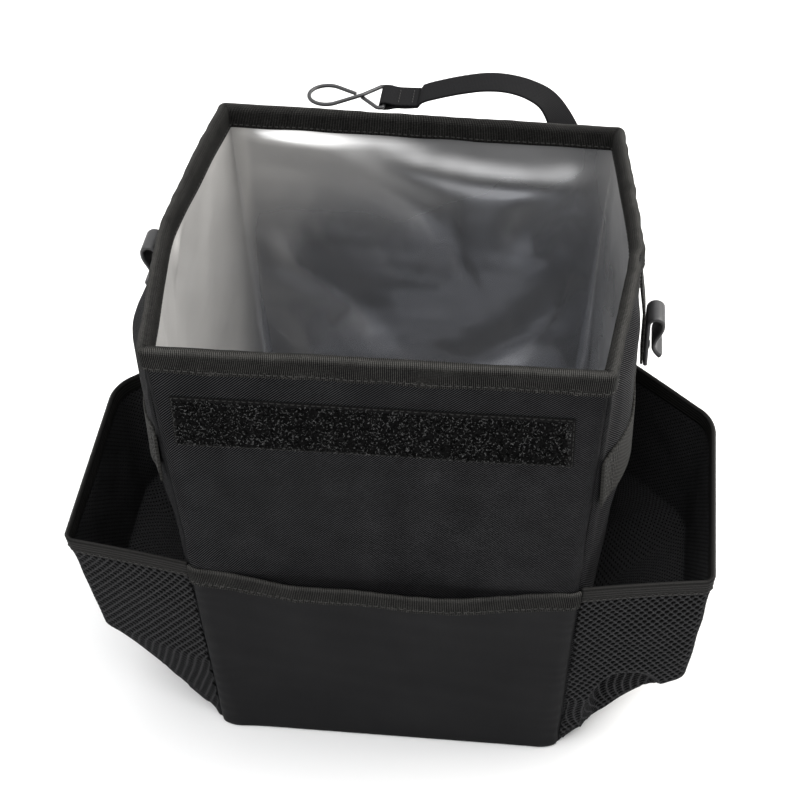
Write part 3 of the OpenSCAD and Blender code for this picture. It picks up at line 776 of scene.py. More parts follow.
def make_walls():
    """Front, back and side walls, cut flat and sewn to each other at the four corners."""
    front = face_line(-1, WALL_ROWS, run=110)
    back = face_line(1, WALL_ROWS, run=110)
    right = side_line(WALL_ROWS, steps=100)
    left = mirrored(right)
    cuts = [("front_wall_cloth", front, "front_panel", pocket_shadow_creases(front), 1),
            ("back_wall_cloth", back, "back_panel", 0.0, 1)]
    for side, grid, seed, full in (("right", right, 21, RIGHT_FULL), ("left", left, 22, LEFT_FULL)):
        loose = 0.5 * MM * ripple(grid, 45 * MM, seed) + fullness(grid[..., 1], grid[..., 2], full)
        cuts.append((side + "_wall_cloth", grid, side + "_panel", loose, SIDE_LEAN))
    for name, grid, node, creases, lean in cuts:
        made, points = wall_cloth(name, grid, creases, lean)
        finish_piece(made, TWILL, [node])
        (node.replace("panel", "board") if node in ("front_panel", "back_panel")
                           else node.replace("panel", "front_board"))


def make_base():
    """Base cloth: rows across the base, each as wide as the rounded outline there."""
    v = np.linspace(-1, 1, 81)
    y = v * HALF_D
    over = np.clip(np.abs(y) - (HALF_D - BASE_R), 0, BASE_R)
    width = np.where(over > 0, half_width(0.0) - BASE_R + np.sqrt(np.maximum(BASE_R**2 - over**2, 0)),
                     side_x(y, 0.0))
    x = v[None] * width[:, None]
    z = np.full_like(x, FABRIC_T)
    points = np.stack([x, np.broadcast_to(y[:, None], x.shape), z], -1)
    made = thicken(surface("base_cloth", points), FABRIC_T)
    finish_piece(made, TWILL, ["base_panel"])


LINER_FOOT = 9 * MM
ROLLS_MOST = 6.5 * MM
# Each roll of film: both ends as (across, up), its height and half width, all in millimetres, its bend
BACK_ROLLS = np.array([
    (-106, 264, 24, 198, 5.6, 14, -1.2), (-34, 260, 104, 246, 5.2, 10, 0.7),
    (103, 252, 54, 190, 5.0, 14, 0.8), (22, 236, 34, 160, 1.5, 5, 1),
    (-98, 186, -20, 128, 4.4, 14, -0.6), (92, 168, 10, 96, 4.6, 15, -0.8),
    (-80, 110, 30, 62, 3.6, 16, 1), (60, 84, 98, 30, 3.0, 13, 1)])
SIDE_ROLLS = np.array([
    (18, 268, -8, 244, 2.6, 5, 1.5), (-70, 262, -40, 150, 1.8, 10, 1), (62, 255, 34, 140, 1.8, 10, 1),
    (-20, 190, 6, 60, 2.2, 12, -1), (80, 120, 50, 30, 1.8, 10, 1)])


def rolls(across, z, table):
    """Rounded rolls of loose film. Each lies along a line between two places, is a bell curve across
    it and fades out at both ends. Where rolls cross, their heights add as the root of their squares."""
    made = np.zeros_like(z)
    for x0, z0, x1, z1, height, width, bend in table * np.array([MM] * 6 + [1]):
        way = np.array([x1 - x0, z1 - z0])
        run = math.hypot(*way)
        along = ((across - x0) * way[0] + (z - z0) * way[1]) / run**2
        off = ((across - x0) * way[1] - (z - z0) * way[0]) / run
        bent = off + 0.1 * bend * run * (4 * (along - 0.5) ** 2 - 1)
        ends = ease(along, -0.15, 0.25) * (1 - ease(along, 0.7, 1.15))
        made += (height * hill(bent, 0, width) * ends) ** 2
    return np.sqrt(made)


def film_wave(points):
    """Loose film, only ever inwards from its boards: slanting rolls on back and front, upright ones on
    the sides, held flat by the rim tape, the corners and the floor."""
    x, y, z = points[..., 0], points[..., 1], points[..., 2]
    facing = ease(np.abs(y) / HALF_D, 0.8, 0.93)
    wide = rolls(x * np.where(y > 0, 1, -1), z, BACK_ROLLS)
    side = rolls(y * np.where(x > 0, -1, 1), z, SIDE_ROLLS)
    held = ease(BODY_H - z, 10 * MM, 20 * MM)
    off_corner = ease(np.hypot(np.abs(x) - half_width(z), np.abs(y) - HALF_D), 4 * MM, 24 * MM)
    small = 0.5 * MM + 0.35 * MM * ripple(points, 45 * MM, 33) + 0.1 * MM * ripple(points, 14 * MM, 34)
    return (np.minimum(mix(side, wide, facing), ROLLS_MOST) + small) * held * off_corner


def make_liner():
    """Welded film bag: rings down the walls, round a soft foot and across the floor. Its rows run
    down, so that its faces and normals point into the bin."""
    ring = dict(arc=7, run=90, side=90)
    walls = np.linspace(BODY_H - 1.6 * MM, LINER_FLOOR + LINER_FOOT, 120)
    turn = np.radians(np.linspace(0, 90, 7)[1:])
    foot_rings = [outline(np.array([LINER_FLOOR + LINER_FOOT * (1 - math.sin(a))]),
                          LINER_DEPTH + LINER_FOOT * (1 - math.cos(a)), **ring) for a in turn]
    floor_rings = [foot_rings[-1] * np.array([s, s, 1]) for s in np.linspace(0.97, 0.02, 26)]
    grid = np.concatenate([outline(walls, LINER_DEPTH, **ring)] + foot_rings + floor_rings)
    share = np.ones(len(grid))
    share[len(walls):] = np.linspace(1, 0, len(grid) - len(walls)) ** 8
    grid = grid + normals(grid, wrap=True) * (film_wave(grid) * share[:, None])[..., None]
    floor_part = grid[len(walls) + len(foot_rings):]
    swell = 1.1 * MM * (0.5 + 0.5 * ripple(floor_part, 60 * MM, 36))
    floor_part[..., 2] += swell * np.linspace(0, 1, len(floor_part))[:, None] ** 0.3
    made = surface("liner_film", settled(grid), wrap=True, caps=("last",))
    finish_piece(made, FILM, ["liner"])


def make_rim_tape():
    """Tape folded over the rim: up its outer face, over a rounded top, down its inner face, and a little
    twisted at the middle of the right side."""
    low = BODY_H - TAPE_H
    round_r = 2.6 * MM
    middle = (TAPE_OUT + TAPE_IN) / 2
    turn = np.radians(np.linspace(0, 90, 7))
    outer_z = np.linspace(low, BODY_H - TAPE_T / 2 - round_r, 9)
    arc_in = TAPE_OUT + round_r * (1 - np.cos(turn[1:]))
    arc_z = BODY_H - TAPE_T / 2 - round_r * (1 - np.sin(turn[1:]))
    depth = np.concatenate([np.full(len(outer_z), TAPE_OUT), arc_in])
    height = np.concatenate([outer_z, arc_z])
    depth = np.concatenate([depth, 2 * middle - depth[::-1]])
    height = np.concatenate([height, height[::-1]])
    ring = dict(arc=9, run=170, side=130)
    grid = np.concatenate([outline(np.array([z]), d, **ring) for d, z in zip(depth, height)])
    out = unit(grid[0] - outline(np.array([low]), 1 * MM, **ring)[0])
    across = np.linspace(-1, 1, len(grid))[:, None]
    share = 1 - ease(across, -0.15, 0.7)
    wave = (wall_wave(grid[0])[None] + 0.25 * MM * ripple(grid, 14 * MM, 41)) * share
    grid = grid + out[None] * wave[..., None]
    sway = 0.35 * MM * ripple(grid, 35 * MM, 42)
    lift = (height - low)[:, None] / TAPE_H
    crest = 0.22 * MM * ripple(grid[0], 50 * MM, 43)[None]
    grid[..., 2] += sway * (1 - lift) * np.abs(across) + crest * lift
    x, y = grid[..., 0], grid[..., 1]
    twist = hill(y, TWIST_Y, TWIST_W) * (x > 0) * share
    grid = grid + out[None] * (TWIST_H * twist * np.sin((y - TWIST_Y) / (TWIST_W / 2)))[..., None]
    grid = settled(grid)
    u = lengths(looped(grid[4])) / MM
    v = lengths(np.stack([depth, height], -1)) / MM
    made = surface("rim_tape", grid, np.stack(np.meshgrid(u, v), -1), wrap=True)
    thicken(made, TAPE_T, 0.0)
    finish_piece(made, TAPE, ["rim_binding"])
    face = TAPE_T / 2 + THREAD_LIFT
    outer_line = mix(grid[1], grid[2], 0.6) + out * face
    inner_line = mix(grid[-2], grid[-3], 0.6) - out * face
    rows = [(looped(outer_line), looped(out)), (looped(inner_line), looped(-out))]
    sewn = stitches("rim_stitches", rows, seed=5)
    finish_piece(sewn, THREAD)


def strip_face(x, z):
    """y of the front wall's face, with its waves."""
    place = np.stack([x, np.full_like(x, -HALF_D), z], -1)
    return -HALF_D - wall_wave(place)


def make_loop_strip():
    """Loop strip: a ground with flat selvedges and raised pile, its scattered fibres and its seam."""
    x = np.linspace(-STRIP_L / 2, STRIP_L / 2, 180) + STRIP_X
    z = np.linspace(0, STRIP_H, 34) + STRIP_Z
    xx, zz = np.meshgrid(x, z)
    edge = np.minimum(np.minimum(xx - x[0], x[-1] - xx), np.minimum(zz - z[0], z[-1] - zz))
    pile = ease(edge, 1.2 * MM, 2.6 * MM)
    place = np.stack([xx, np.zeros_like(xx), zz], -1)
    height = 0.7 * MM + 0.85 * MM * pile + 0.22 * MM * pile * ripple(place, 4 * MM, 51)
    height = height * ease(edge, -0.2 * MM, 0.25 * MM)
    yy = strip_face(xx, zz) - SEAT - height
    made = surface("loop_strip_ground", np.stack([xx, yy, zz], -1))
    thicken(made, 0.5 * MM)
    finish_piece(made, PILE, ["loop_strip"])
    loop_strip_fuzz(x, z)
    inset = 0.8 * MM
    corners = np.array([[x[0] + inset, z[0] + inset], [x[-1] - inset, z[0] + inset],
                        [x[-1] - inset, z[-1] - inset], [x[0] + inset, z[-1] - inset],
                        [x[0] + inset, z[0] + inset]])
    flat = resample(corners, 400)
    selvedge_y = strip_face(flat[:, 0], flat[:, 1]) - SEAT - 0.72 * MM
    line = np.stack([flat[:, 0], selvedge_y, flat[:, 1]], -1)
    sewn = stitches("loop_strip_stitches", [(line, np.tile([0, -1.0, 0], (len(line), 1)))], seed=6)
    finish_piece(sewn, BLACK_THREAD)


def loop_strip_fuzz(x, z):
    """Small bent fibres scattered over the strip's pile, each a thin arch in a direction of its own."""
    rng = np.random.default_rng(52)
    count, rings, sides = 4600, 5, 4
    margin, fibre, root_out = 1.5 * MM, 0.14 * MM, 1.45 * MM
    foot_x = rng.uniform(x[0] + margin, x[-1] - margin, count)
    foot_z = rng.uniform(z[0] + margin, z[-1] - margin, count)
    turn = rng.uniform(0, 2 * np.pi, count)
    span = rng.uniform(0.8, 2.3, count) * MM
    rise = rng.uniform(0.25, 0.95, count) * MM
    t = np.linspace(0, 1, rings)
    along = np.stack([np.cos(turn), np.zeros(count), np.sin(turn)], -1)
    root = np.stack([foot_x, strip_face(foot_x, foot_z) - SEAT - root_out, foot_z], -1)
    line = (root[:, None] + along[:, None] * ((t - 0.5)[None, :, None] * span[:, None, None]))
    line[..., 1] -= np.sin(np.pi * t)[None] * rise[:, None] - 0.1 * MM
    line = line + rng.normal(0, 0.12 * MM, line.shape)
    side = np.cross(along, np.array([0, -1.0, 0]))
    angle = 2 * np.pi * np.arange(sides) / sides
    ring = (line[:, :, None] + side[:, None, None] * (fibre * np.cos(angle))[:, None]
            + np.array([0, -1.0, 0]) * (fibre * np.sin(angle))[:, None])
    faces = quads_of(rings, sides, True)[None] + (np.arange(count) * rings * sides)[:, None, None]
    fuzz = make_object("loop_strip_loops", ring.reshape(-1, 3), faces.reshape(-1, 4).tolist())
    finish_piece(fuzz, LOOPS)


def pocket_grid(t, lift, drop, run=130):
    """Front pocket at height shares t: round both corners, and standing off most at mid top."""
    top = POCKET_H - drop
    z = mix(BASE_TOP, top, t)
    line = face_line(-1, z, -SEAT - lift, arc=9, run=run)
    share = (t * top / POCKET_H)[:, None]
    e = np.clip(line[..., 0] / (half_width(z) - corner_radius(z))[:, None], -1, 1)
    flat = 1 - e * e
    line[..., 1] -= POCKET_SLACK * flat**1.2 * share**2
    line[..., 2] -= POCKET_SAG * flat * share
    return line


def pocket_wave(points):
    """Soft swells of the pocket's cloth, dying out at its seams."""
    return (0.9 * MM * ripple(points, 75 * MM, 61) + 0.2 * MM * ripple(points, 20 * MM, 62)) * ease(
        points[..., 2], 2 * MM, 40 * MM)


def make_front_pocket():
    """Full-width front pocket with a folded tape along its slack top edge."""
    t = np.linspace(0, 1, 90)
    points = pocket_grid(t, FABRIC_T, 6 * MM)
    out = normals(points)
    hold = ease(from_edge(points), 4 * MM, 30 * MM)
    points = points + out * ((pocket_wave(points) * hold + wall_wave(points) * (1 - hold)))[..., None]
    points = sewn_edges(points, out)
    made = thicken(surface("front_pocket_cloth", points), FABRIC_T)
    finish_piece(made, SATIN, ["front_pocket"])
    make_pocket_tape()


def make_pocket_tape():
    """Tape folded over the pocket's top edge, with a row of stitches near its lower edge."""
    steps = 12
    t = np.linspace(1 - POCKET_TAPE_H / (POCKET_H - BASE_TOP), 1, steps)
    outer = pocket_grid(t, FABRIC_T + TAPE_T / 2, 0.0, run=150)
    inner = pocket_grid(t, -0.1 * MM, 0.0, run=150)
    crown = mix(outer[-1:], inner[-1:], 0.5) + np.array([0, 0, 0.5 * MM])
    grid = np.concatenate([outer, crown, inner[::-1]])
    out = normals(grid[:steps])[0]
    hold = ease(np.minimum(np.arange(grid.shape[1]), np.arange(grid.shape[1])[::-1]) / 20, 0, 1)
    wave = (pocket_wave(grid[0]) * hold + wall_wave(grid[0]) * (1 - hold))
    grid = grid + out[None] * (wave[None] + 0.2 * MM * ripple(grid, 13 * MM, 63))[..., None]
    grid[0, :, 2] += 0.3 * MM * ripple(grid[0], 22 * MM, 64)
    made = thicken(surface("front_pocket_tape", grid), TAPE_T * 0.9, 0.0)
    finish_piece(made, TAPE, ["front_pocket_binding"])
    line = mix(grid[2], grid[3], 0.3) + out * (TAPE_T / 2)
    sewn = stitches("front_pocket_stitches", [(line, out)], seed=7)
    finish_piece(sewn, THREAD)
    return made


BAG_FRONT_R, BAG_BACK_R, BAG_BACK_Y = 3.5 * MM, 34 * MM, 30 * MM
BAG_ARC, BAG_WALL = 5, 4
BAG_LAST = 3 * BAG_WALL + 2 * BAG_ARC


def rounded_corner(a, b, c, r, steps):
    """Arc of radius r that touches both arms of the corner at b."""
    u, v = unit(a - b), unit(c - b)
    half = math.acos(float(np.clip(u @ v, -1, 1))) / 2
    run = r / math.tan(half)
    m = b + unit(u + v) * r / math.sin(half)
    p, q = b + u * run - m, b + v * run - m
    w = np.linspace(0, 1, steps)[:, None]
    return m + unit(mix(p, q, w)) * r


def bag_path(z, out, lean, k):
    """Plan of a mesh pocket at height z: out from the front seam, along the outer wall, back to the
    rear seam. k counts the plan's stretches, so that heights can be blended point by point."""
    y1 = HALF_D - corner_radius(z) - 2 * MM
    x1 = half_width(z) + out
    sewn = seam_y(z) - 0.5 * MM
    a = np.array([body_x(-sewn, z, 0.6 * MM), -sewn])
    b = np.array([x1, lean - y1])
    c = np.array([x1 + 3 * MM, BAG_BACK_Y])
    d = np.array([body_x(sewn, z, 0.6 * MM), sewn])
    fine = 24
    f = rounded_corner(a, b, c, BAG_FRONT_R, fine)
    g = rounded_corner(b, c, d, BAG_BACK_R, fine)
    anchors = np.vstack([a, f, g, d])
    marks = np.concatenate([[0], BAG_WALL + BAG_ARC * np.linspace(0, 1, fine),
                            2 * BAG_WALL + BAG_ARC + BAG_ARC * np.linspace(0, 1, fine),
                            [3 * BAG_WALL + 2 * BAG_ARC]])
    return np.stack([np.interp(k, marks, anchors[:, i]) for i in range(2)], -1)


def bag_seam(k):
    """Bottom seam of a mesh pocket, with the front wall's share of it just behind the corner."""
    y1 = seam_y(0.0) - 0.5 * MM
    turn, front = 20 * MM, BAG_WALL + BAG_ARC / 2
    y = np.where(k < front, mix(-y1, turn - y1, k / front),
                 mix(turn - y1, y1, (k - front) / (BAG_LAST - front)))
    z = BASE_TOP + MESH_T
    return np.stack([body_x(y, z, MESH_T), y, np.full_like(y, z)], -1)


class Bag:
    """Surface of a mesh pocket: s goes round it from seam to seam, t up it from the bottom seam."""

    def __init__(self, left):
        self.left = left
        steps = 480
        k = np.linspace(0, BAG_LAST, 2001)
        plan = bag_path(100 * MM, (MESH_OUT + MESH_LOW_OUT) / 2, 0.0, k)
        run = lengths(plan)
        self.k = np.interp(np.linspace(0, run[-1], steps), run, k)
        self.round = run[-1]
        rim = np.abs(2 * self.k / BAG_LAST - 1)
        top_z = MESH_H + MESH_RISE * (1 - rim**3)
        self.top = np.column_stack([bag_path(MESH_H, MESH_OUT, -3 * MM, self.k), top_z])
        self.seam = bag_seam(self.k)
        self.low = self.low_edge()
        self.rim = rim
        under = float(np.linalg.norm(self.low - self.seam, axis=1).mean())
        wall = float(np.linalg.norm(self.top - self.low, axis=1).mean())
        self.fold = under / (under + wall)
        self.t = np.linspace(0, 1, 240)
        self.grid = self.build()
        self.out = normals(self.grid)
        self.flatten()

    def low_edge(self):
        """Lower edge: level round the outside. Along the front it rises from the foot of the seam to
        that level by the share s * (1 + 0.6 * s * (1 - s)), s being how far out from the seam it is."""
        lean, height = (3 * MM, MESH_LOW_H - 1 * MM) if self.left else (-5 * MM, MESH_LOW_H - 3 * MM)
        plan = bag_path(height, MESH_LOW_OUT + 2 * MM, lean, self.k)
        foot = bag_path(0.0, MESH_LOW_OUT + 2 * MM, lean, self.k)
        s = np.clip((plan[:, 0] - plan[0, 0]) / (half_width(height) + MESH_LOW_OUT - plan[0, 0]), 0, 1)
        s = np.where(self.k > BAG_WALL + BAG_ARC / 2, 1, s)
        share = s * (1 + 0.6 * s * (1 - s))
        z = mix(BASE_TOP + MESH_T + 2 * MM, height, share)
        return np.column_stack([mix(foot, plan, share[:, None]), z])

    def build(self):
        """Underside with a slight draw, a softly rounded lower edge, then the outer wall."""
        t = self.t[:, None, None]
        a = np.clip(t / self.fold, 0, 1)
        b = np.clip((t - self.fold) / (1 - self.fold), 0, 1)
        tuck = MESH_TUCK * 4 * a * (1 - a) * (1 - self.rim[None, :, None] ** 6)
        under = mix(self.seam[None], self.low[None], a) + tuck * np.array([0, 0, 1])
        wall = mix(self.low[None], self.top[None], b)
        grid = np.where(t < self.fold, under, wall)
        rounded = smoothed(grid, 9)
        rounded[0], rounded[-1] = grid[0], grid[-1]
        grid = rounded
        out = normals(grid)
        free = ease(np.minimum(self.t, 1 - self.t), 0, 0.12)[:, None] * ease(1 - self.rim, 0, 0.15)[None]
        seed = 71 if self.left else 72
        sag = -0.8 * MM * ripple(grid, 75 * MM, seed) - 0.3 * MM * ripple(grid, 26 * MM, seed + 2)
        grid = grid + out * (sag * free)[..., None]
        return grid if self.left else self.pinched(grid)

    def pinched(self, grid):
        """The right pocket's lower front, sucked in below an arch beside the front seam."""
        x, y, z = grid[..., 0], grid[..., 1], grid[..., 2]
        middle, half, height, depth = 136 * MM, 27 * MM, 61 * MM, 17 * MM
        arch = height * np.clip(1 - (np.abs(x - middle) / half) ** 2.6, 0, 1) ** 0.5
        inside = ease(arch - z, 0, 4 * MM) * ease(-y, 70 * MM, 88 * MM) * ease(158 * MM - x, 0, 12 * MM)
        inside = inside * ease(x, 107 * MM, 122 * MM)
        made = grid + depth * inside[..., None] * np.array([-0.1, 0.75, -0.65])
        made[..., 2] = np.maximum(made[..., 2], np.minimum(z, 1.6 * MM))
        return made

    def flatten(self):
        """Two more tables of the same surface, with a last column that is 1 where there is cloth. The
        rows of the first lie at even distances down from the top edge. The columns of the second lie
        at even distances from its middle too, so that the knit keeps its pitch."""
        both = np.concatenate([self.grid, self.out], -1)[::-1]
        down = np.array([lengths(column[:, :3]) for column in both.transpose(1, 0, 2)])
        self.deepest = down[:, -1].max()
        v = np.linspace(self.deepest, 0, 240)
        self.deep = np.array([[np.interp(v, run, both[:, c, k]) for k in range(6)] + [v <= run[-1]]
                              for c, run in enumerate(down)]).transpose(2, 0, 1)
        middle = self.deep.shape[1] // 2
        runs = np.array([lengths(row[:, :3]) for row in self.deep])
        runs -= runs[:, middle:middle + 1]
        self.half = max(-runs[:, 0].min(), runs[:, -1].max())
        u = np.linspace(-self.half, self.half, 600)
        self.flat = np.array([[np.interp(u, run, row[:, k]) for k in range(6)]
                              + [np.interp(u, run, row[:, 6], left=0, right=0)]
                              for run, row in zip(runs, self.deep)]).transpose(0, 2, 1)

    def inside(self, u, t):
        """Whether a place on the cut cloth lies between the seams."""
        rows, cols = self.flat.shape[:2]
        j = np.clip(np.rint((u / self.half / 2 + 0.5) * (cols - 1)), 0, cols - 1).astype(int)
        i = np.clip(np.rint(t * (rows - 1)), 0, rows - 1).astype(int)
        return self.flat[i, j, 6] > 0.5

    def at(self, s, t, lift):
        """Points at shares s round and t up, lifted off the surface."""
        return self.read(np.concatenate([self.grid, self.out], -1), s, t, lift)

    def at_depth(self, s, down, lift):
        """Points at shares s round and at distances down from the top edge, lifted off the surface."""
        return self.read(self.deep, s, 1 - down / self.deepest, lift)

    def at_cloth(self, u, t, lift):
        """Points of the cut cloth, at distances u from its middle and shares t up from its lowest."""
        return self.read(self.flat, u / self.half / 2 + 0.5, t, lift)

    def read(self, table, s, t, lift):
        """Blend of the four nearest points of a table of places and outward directions."""
        rows, cols = table.shape[:2]
        j = np.clip(s, 0, 1) * (cols - 1)
        i = np.clip(t, 0, 1) * (rows - 1)
        j0 = np.minimum(j.astype(int), cols - 2)
        i0 = np.minimum(i.astype(int), rows - 2)
        fj, fi = (j - j0)[..., None], (i - i0)[..., None]
        low = mix(table[i0, j0], table[i0, j0 + 1], fj)
        both = mix(low, mix(table[i0 + 1, j0], table[i0 + 1, j0 + 1], fj), fi)
        made = both[..., :3] + unit(both[..., 3:6]) * np.broadcast_to(lift, s.shape)[..., None]
        return made * np.array([-1, 1, 1]) if self.left else made


HOLE_PITCH, CELL_SIDES = 4.5 * MM, 8
BACKING_IN, BACKING_T = 0.95 * MM, 0.3 * MM
# Rings of a cell from its rim inwards: share of the pitch, lift off the cloth, lightness (painted shade,
# fading down the hole's wall to black on its floor)
CELL_RINGS = ((1.0, 0.28 * MM, 1.0), (0.65, 0.1 * MM, 0.75), (0.53, -0.74 * MM, 0.0))


def mesh_lattice(bag, name):
    """Knitted mesh: staggered holes. Each cell is a diamond whose raised rim is shared by its
    neighbours, then the hole's edge, its wall and its floor just above the backing."""
    rows = int(round(bag.deepest / (HOLE_PITCH / 2)))
    reach = int(bag.half / HOLE_PITCH) + 1
    i, j = np.meshgrid(np.arange(-reach, reach + 1), np.arange(rows + 1))
    cu = ((i + 0.5 * (j % 2)) * HOLE_PITCH).ravel()
    ct = (j / rows).ravel()
    keep = bag.inside(cu, ct)
    cu, ct = cu[keep], ct[keep]
    k = np.arange(CELL_SIDES)
    turn = 2 * np.pi * k / CELL_SIDES
    du, dt = HOLE_PITCH / 2, 1.0 / rows
    diamond = np.where(k % 2 == 0, 1.0, 0.5 * math.sqrt(2))
    points = []
    for share, lift, _ in CELL_RINGS:
        size = diamond if share == 1 else np.full(CELL_SIDES, share)
        u = cu[:, None] + size * np.cos(turn) * du
        t = ct[:, None] + size * np.sin(turn) * dt
        points.append(bag.at_cloth(u, t, lift).reshape(-1, 3))
    cells, rings = len(cu), len(CELL_RINGS)
    points.append(bag.at_cloth(cu, ct, CELL_RINGS[-1][1]))
    points = np.concatenate(points)
    base = np.arange(cells)[:, None] * CELL_SIDES
    here, there = base + k, base + (k + 1) % CELL_SIDES
    step = cells * CELL_SIDES
    band = np.stack([here, there, there + step, here + step], -1).reshape(-1, 4)
    quads = np.concatenate([band + ring * step for ring in range(rings - 1)])
    centre = np.broadcast_to(rings * step + np.arange(cells)[:, None], here.shape)
    floor = np.stack([(rings - 1) * step + here, (rings - 1) * step + there, centre], -1).reshape(-1, 3)
    if bag.left:
        quads, floor = quads[:, ::-1], floor[:, ::-1]
    size = np.linalg.norm(points[quads[:, 0]] - points[quads[:, 2]], axis=1)
    # Painted shade: each ring's lightness, and black at each hole's centre, go to the lift attribute.
    shade = np.concatenate([np.full(step, level) for _, _, level in CELL_RINGS] + [np.zeros(cells)])
    made = make_object(name, points, quads[size > 0.02 * MM].tolist() + floor.tolist())
    made.data.attributes.new("lift", "FLOAT", "POINT").data.foreach_set("value", shade.astype(np.float32))
    return made


def make_mesh_pocket(left):
    """A mesh pocket: lattice, backing and elastic binding with its stitches."""
    side = handed(left)[0]
    bag = Bag(left)
    lattice = mesh_lattice(bag, side + "_mesh_lattice")
    finish_piece(lattice, MESH, [side + "_mesh_pocket"])
    s, t = np.meshgrid(np.linspace(0, 1, 150), np.linspace(0, 1, 90))
    back = bag.at(s, t, -BACKING_IN)
    backing = surface(side + "_mesh_backing", back, flip=left)
    thicken(backing, BACKING_T)
    finish_piece(backing, MESH_BACK)
    cut = (2 * bag.half, bag.deepest)
    area = cut[0] * cut[1] * float((bag.flat[..., 6] > 0.5).mean())
    side + "_wall_cloth"
    side + "_mesh_lattice"
    make_elastic(bag, side)


def make_elastic(bag, side):
    """Elastic tape folded over the pocket's top edge: a sheet down its outer and its inner face."""
    rise, inset = np.linspace(0, 1, 9), 0.35 * MM
    crown = len(rise)
    half = ELASTIC_T / 2 - inset
    s = np.linspace(0, 1, 260)
    up = np.concatenate([rise, [1.0], rise[::-1]])
    lift = np.concatenate([np.full(crown, half), [0.0], np.full(crown, -half)]) - inset
    ss, down = np.meshgrid(s, ELASTIC_H * (1 - up))
    ll = np.broadcast_to(lift[:, None], ss.shape)
    ridge = 0.16 * MM * np.sin(2 * np.pi * (up * ELASTIC_H) / (2.2 * MM))[:, None] * np.sign(ll)
    grid = bag.at_depth(ss, down, ll + ridge)
    grid[crown, :, 2] += 0.6 * MM
    grid[..., 2] += 0.25 * MM * ripple(grid, 30 * MM, 81) * (1 - up)[:, None]
    made = surface(side + "_elastic_tape", grid, flip=bag.left)
    thicken(made, 0.6 * MM, 0.0)
    finish_piece(made, ELASTIC, [side + "_mesh_binding"])
    side + "_mesh_lattice"
    down = np.full_like(s, ELASTIC_H * 0.84)
    line = bag.at_depth(s, down, half + THREAD_LIFT)
    away = unit(line - bag.at_depth(s, down, -1 * MM))
    sewn = stitches(side + "_elastic_stitches", [(line, away)], seed=8)
    finish_piece(sewn, THREAD)


LEFT_HANDLE = dict(slack=19 * MM, power=2.2, droop=11 * MM, full=LEFT_FULL)
RIGHT_HANDLE = dict(slack=12 * MM, power=2.6, droop=5 * MM, full=RIGHT_FULL)
HANDLE_ROWS, HANDLE_REACH = (-11, -3.7, 3.7, 11), 13 * MM


def handle_path(slack, power, droop, full):
    """Course of a handle: sewn at both ends, bowed off the side and hanging lower between them."""
    z = HANDLE_Z + HANDLE_W / 2
    run = HALF_D - corner_radius(HANDLE_Z) - 1 * MM
    edge = seam_y(z) + 0.6 * MM
    y = np.linspace(-edge, edge, 150)
    e = np.minimum(1, np.abs(y) / (run - 8 * MM))
    seat = 0.7 * MM + WEBBING_T / 2
    bowed = np.where(np.abs(y) < run, half_width(z) + slack * (1 - e**power) + seat, 0)
    x = np.maximum(bowed, body_x(y, z, seat) + fullness(y, HANDLE_Z, full))
    return np.stack([smoothed(x, 7), y, HANDLE_Z - droop * (1 - e**2.5)], -1)


def make_handle(left):
    """Webbing handle with boxes of stitches at its sewn ends."""
    side, flip = handed(left)
    path = handle_path(**(LEFT_HANDLE if left else RIGHT_HANDLE))
    path[:, 2] += 0.5 * MM * ripple(path, 60 * MM, 91)
    path = settled(path * flip)
    across = np.tile([0, 0, 1.0], (len(path), 1))
    made = sweep(side + "_handle_webbing", path, across, band_section(HANDLE_W, WEBBING_T))
    finish_piece(made, WEBBING, [side + "_side_handle"])
    side + "_wall_cloth"
    out = unit(np.cross(np.gradient(path, axis=0), across)) * (-1 if left else 1)
    face = path + out * (WEBBING_T / 2 + THREAD_LIFT)
    rows = []
    for end in (slice(2, 9), slice(-9, -2)):
        for height in HANDLE_ROWS:
            rows.append((face[end] + np.array([0, 0, height * MM]), out[end]))
        for k in (0, -1):
            rows.append(short_row(face[end][k], out[end][k], across[0], HANDLE_REACH))
    sewn = stitches(side + "_handle_stitches", rows, length=2.2 * MM, seed=9)
    finish_piece(sewn, THREAD)


CLIP_POINTS = 90
LEG_TOP, LEG_H, LIP_H, LIP_OUT = 2 * MM, 13 * MM, 6.5 * MM, 4 * MM


def clip_line():
    """Side view of a clip as (outwards, up) pairs: plate, round top, leg to its waist, flared lip."""
    b, waist = CLIP_BEND, CLIP_T + 1.2 * MM
    plate = np.array([[0, -CLIP_H], [0, -CLIP_H * 0.6], [0, -b - CLIP_T / 2 - LEG_TOP]])
    turn = np.radians(np.linspace(180, 0, 19))
    bend = np.stack([b + b * np.cos(turn), -b - CLIP_T / 2 + b * np.sin(turn)], -1)
    t = np.linspace(0.1, 1, 12)
    leg = np.stack([mix(2 * b, waist, (1 - np.cos(np.pi * t)) / 2), -b - LEG_TOP - LEG_H * t], -1)
    t = np.linspace(0.15, 1, 8)
    lip = np.stack([mix(waist, waist + LIP_OUT, t * t), -b - LEG_TOP - LEG_H - LIP_H * t], -1)
    return resample(np.vstack([plate, bend, leg, lip]), CLIP_POINTS)


def clip_section(share):
    """Section of the moulded clip: rounded edges and a thicker bead along its lip."""
    bead = 1 + 0.35 * hill(share, 1.0, 0.05)
    return band_section(CLIP_W, CLIP_T * bead, arc=4, flat=4)


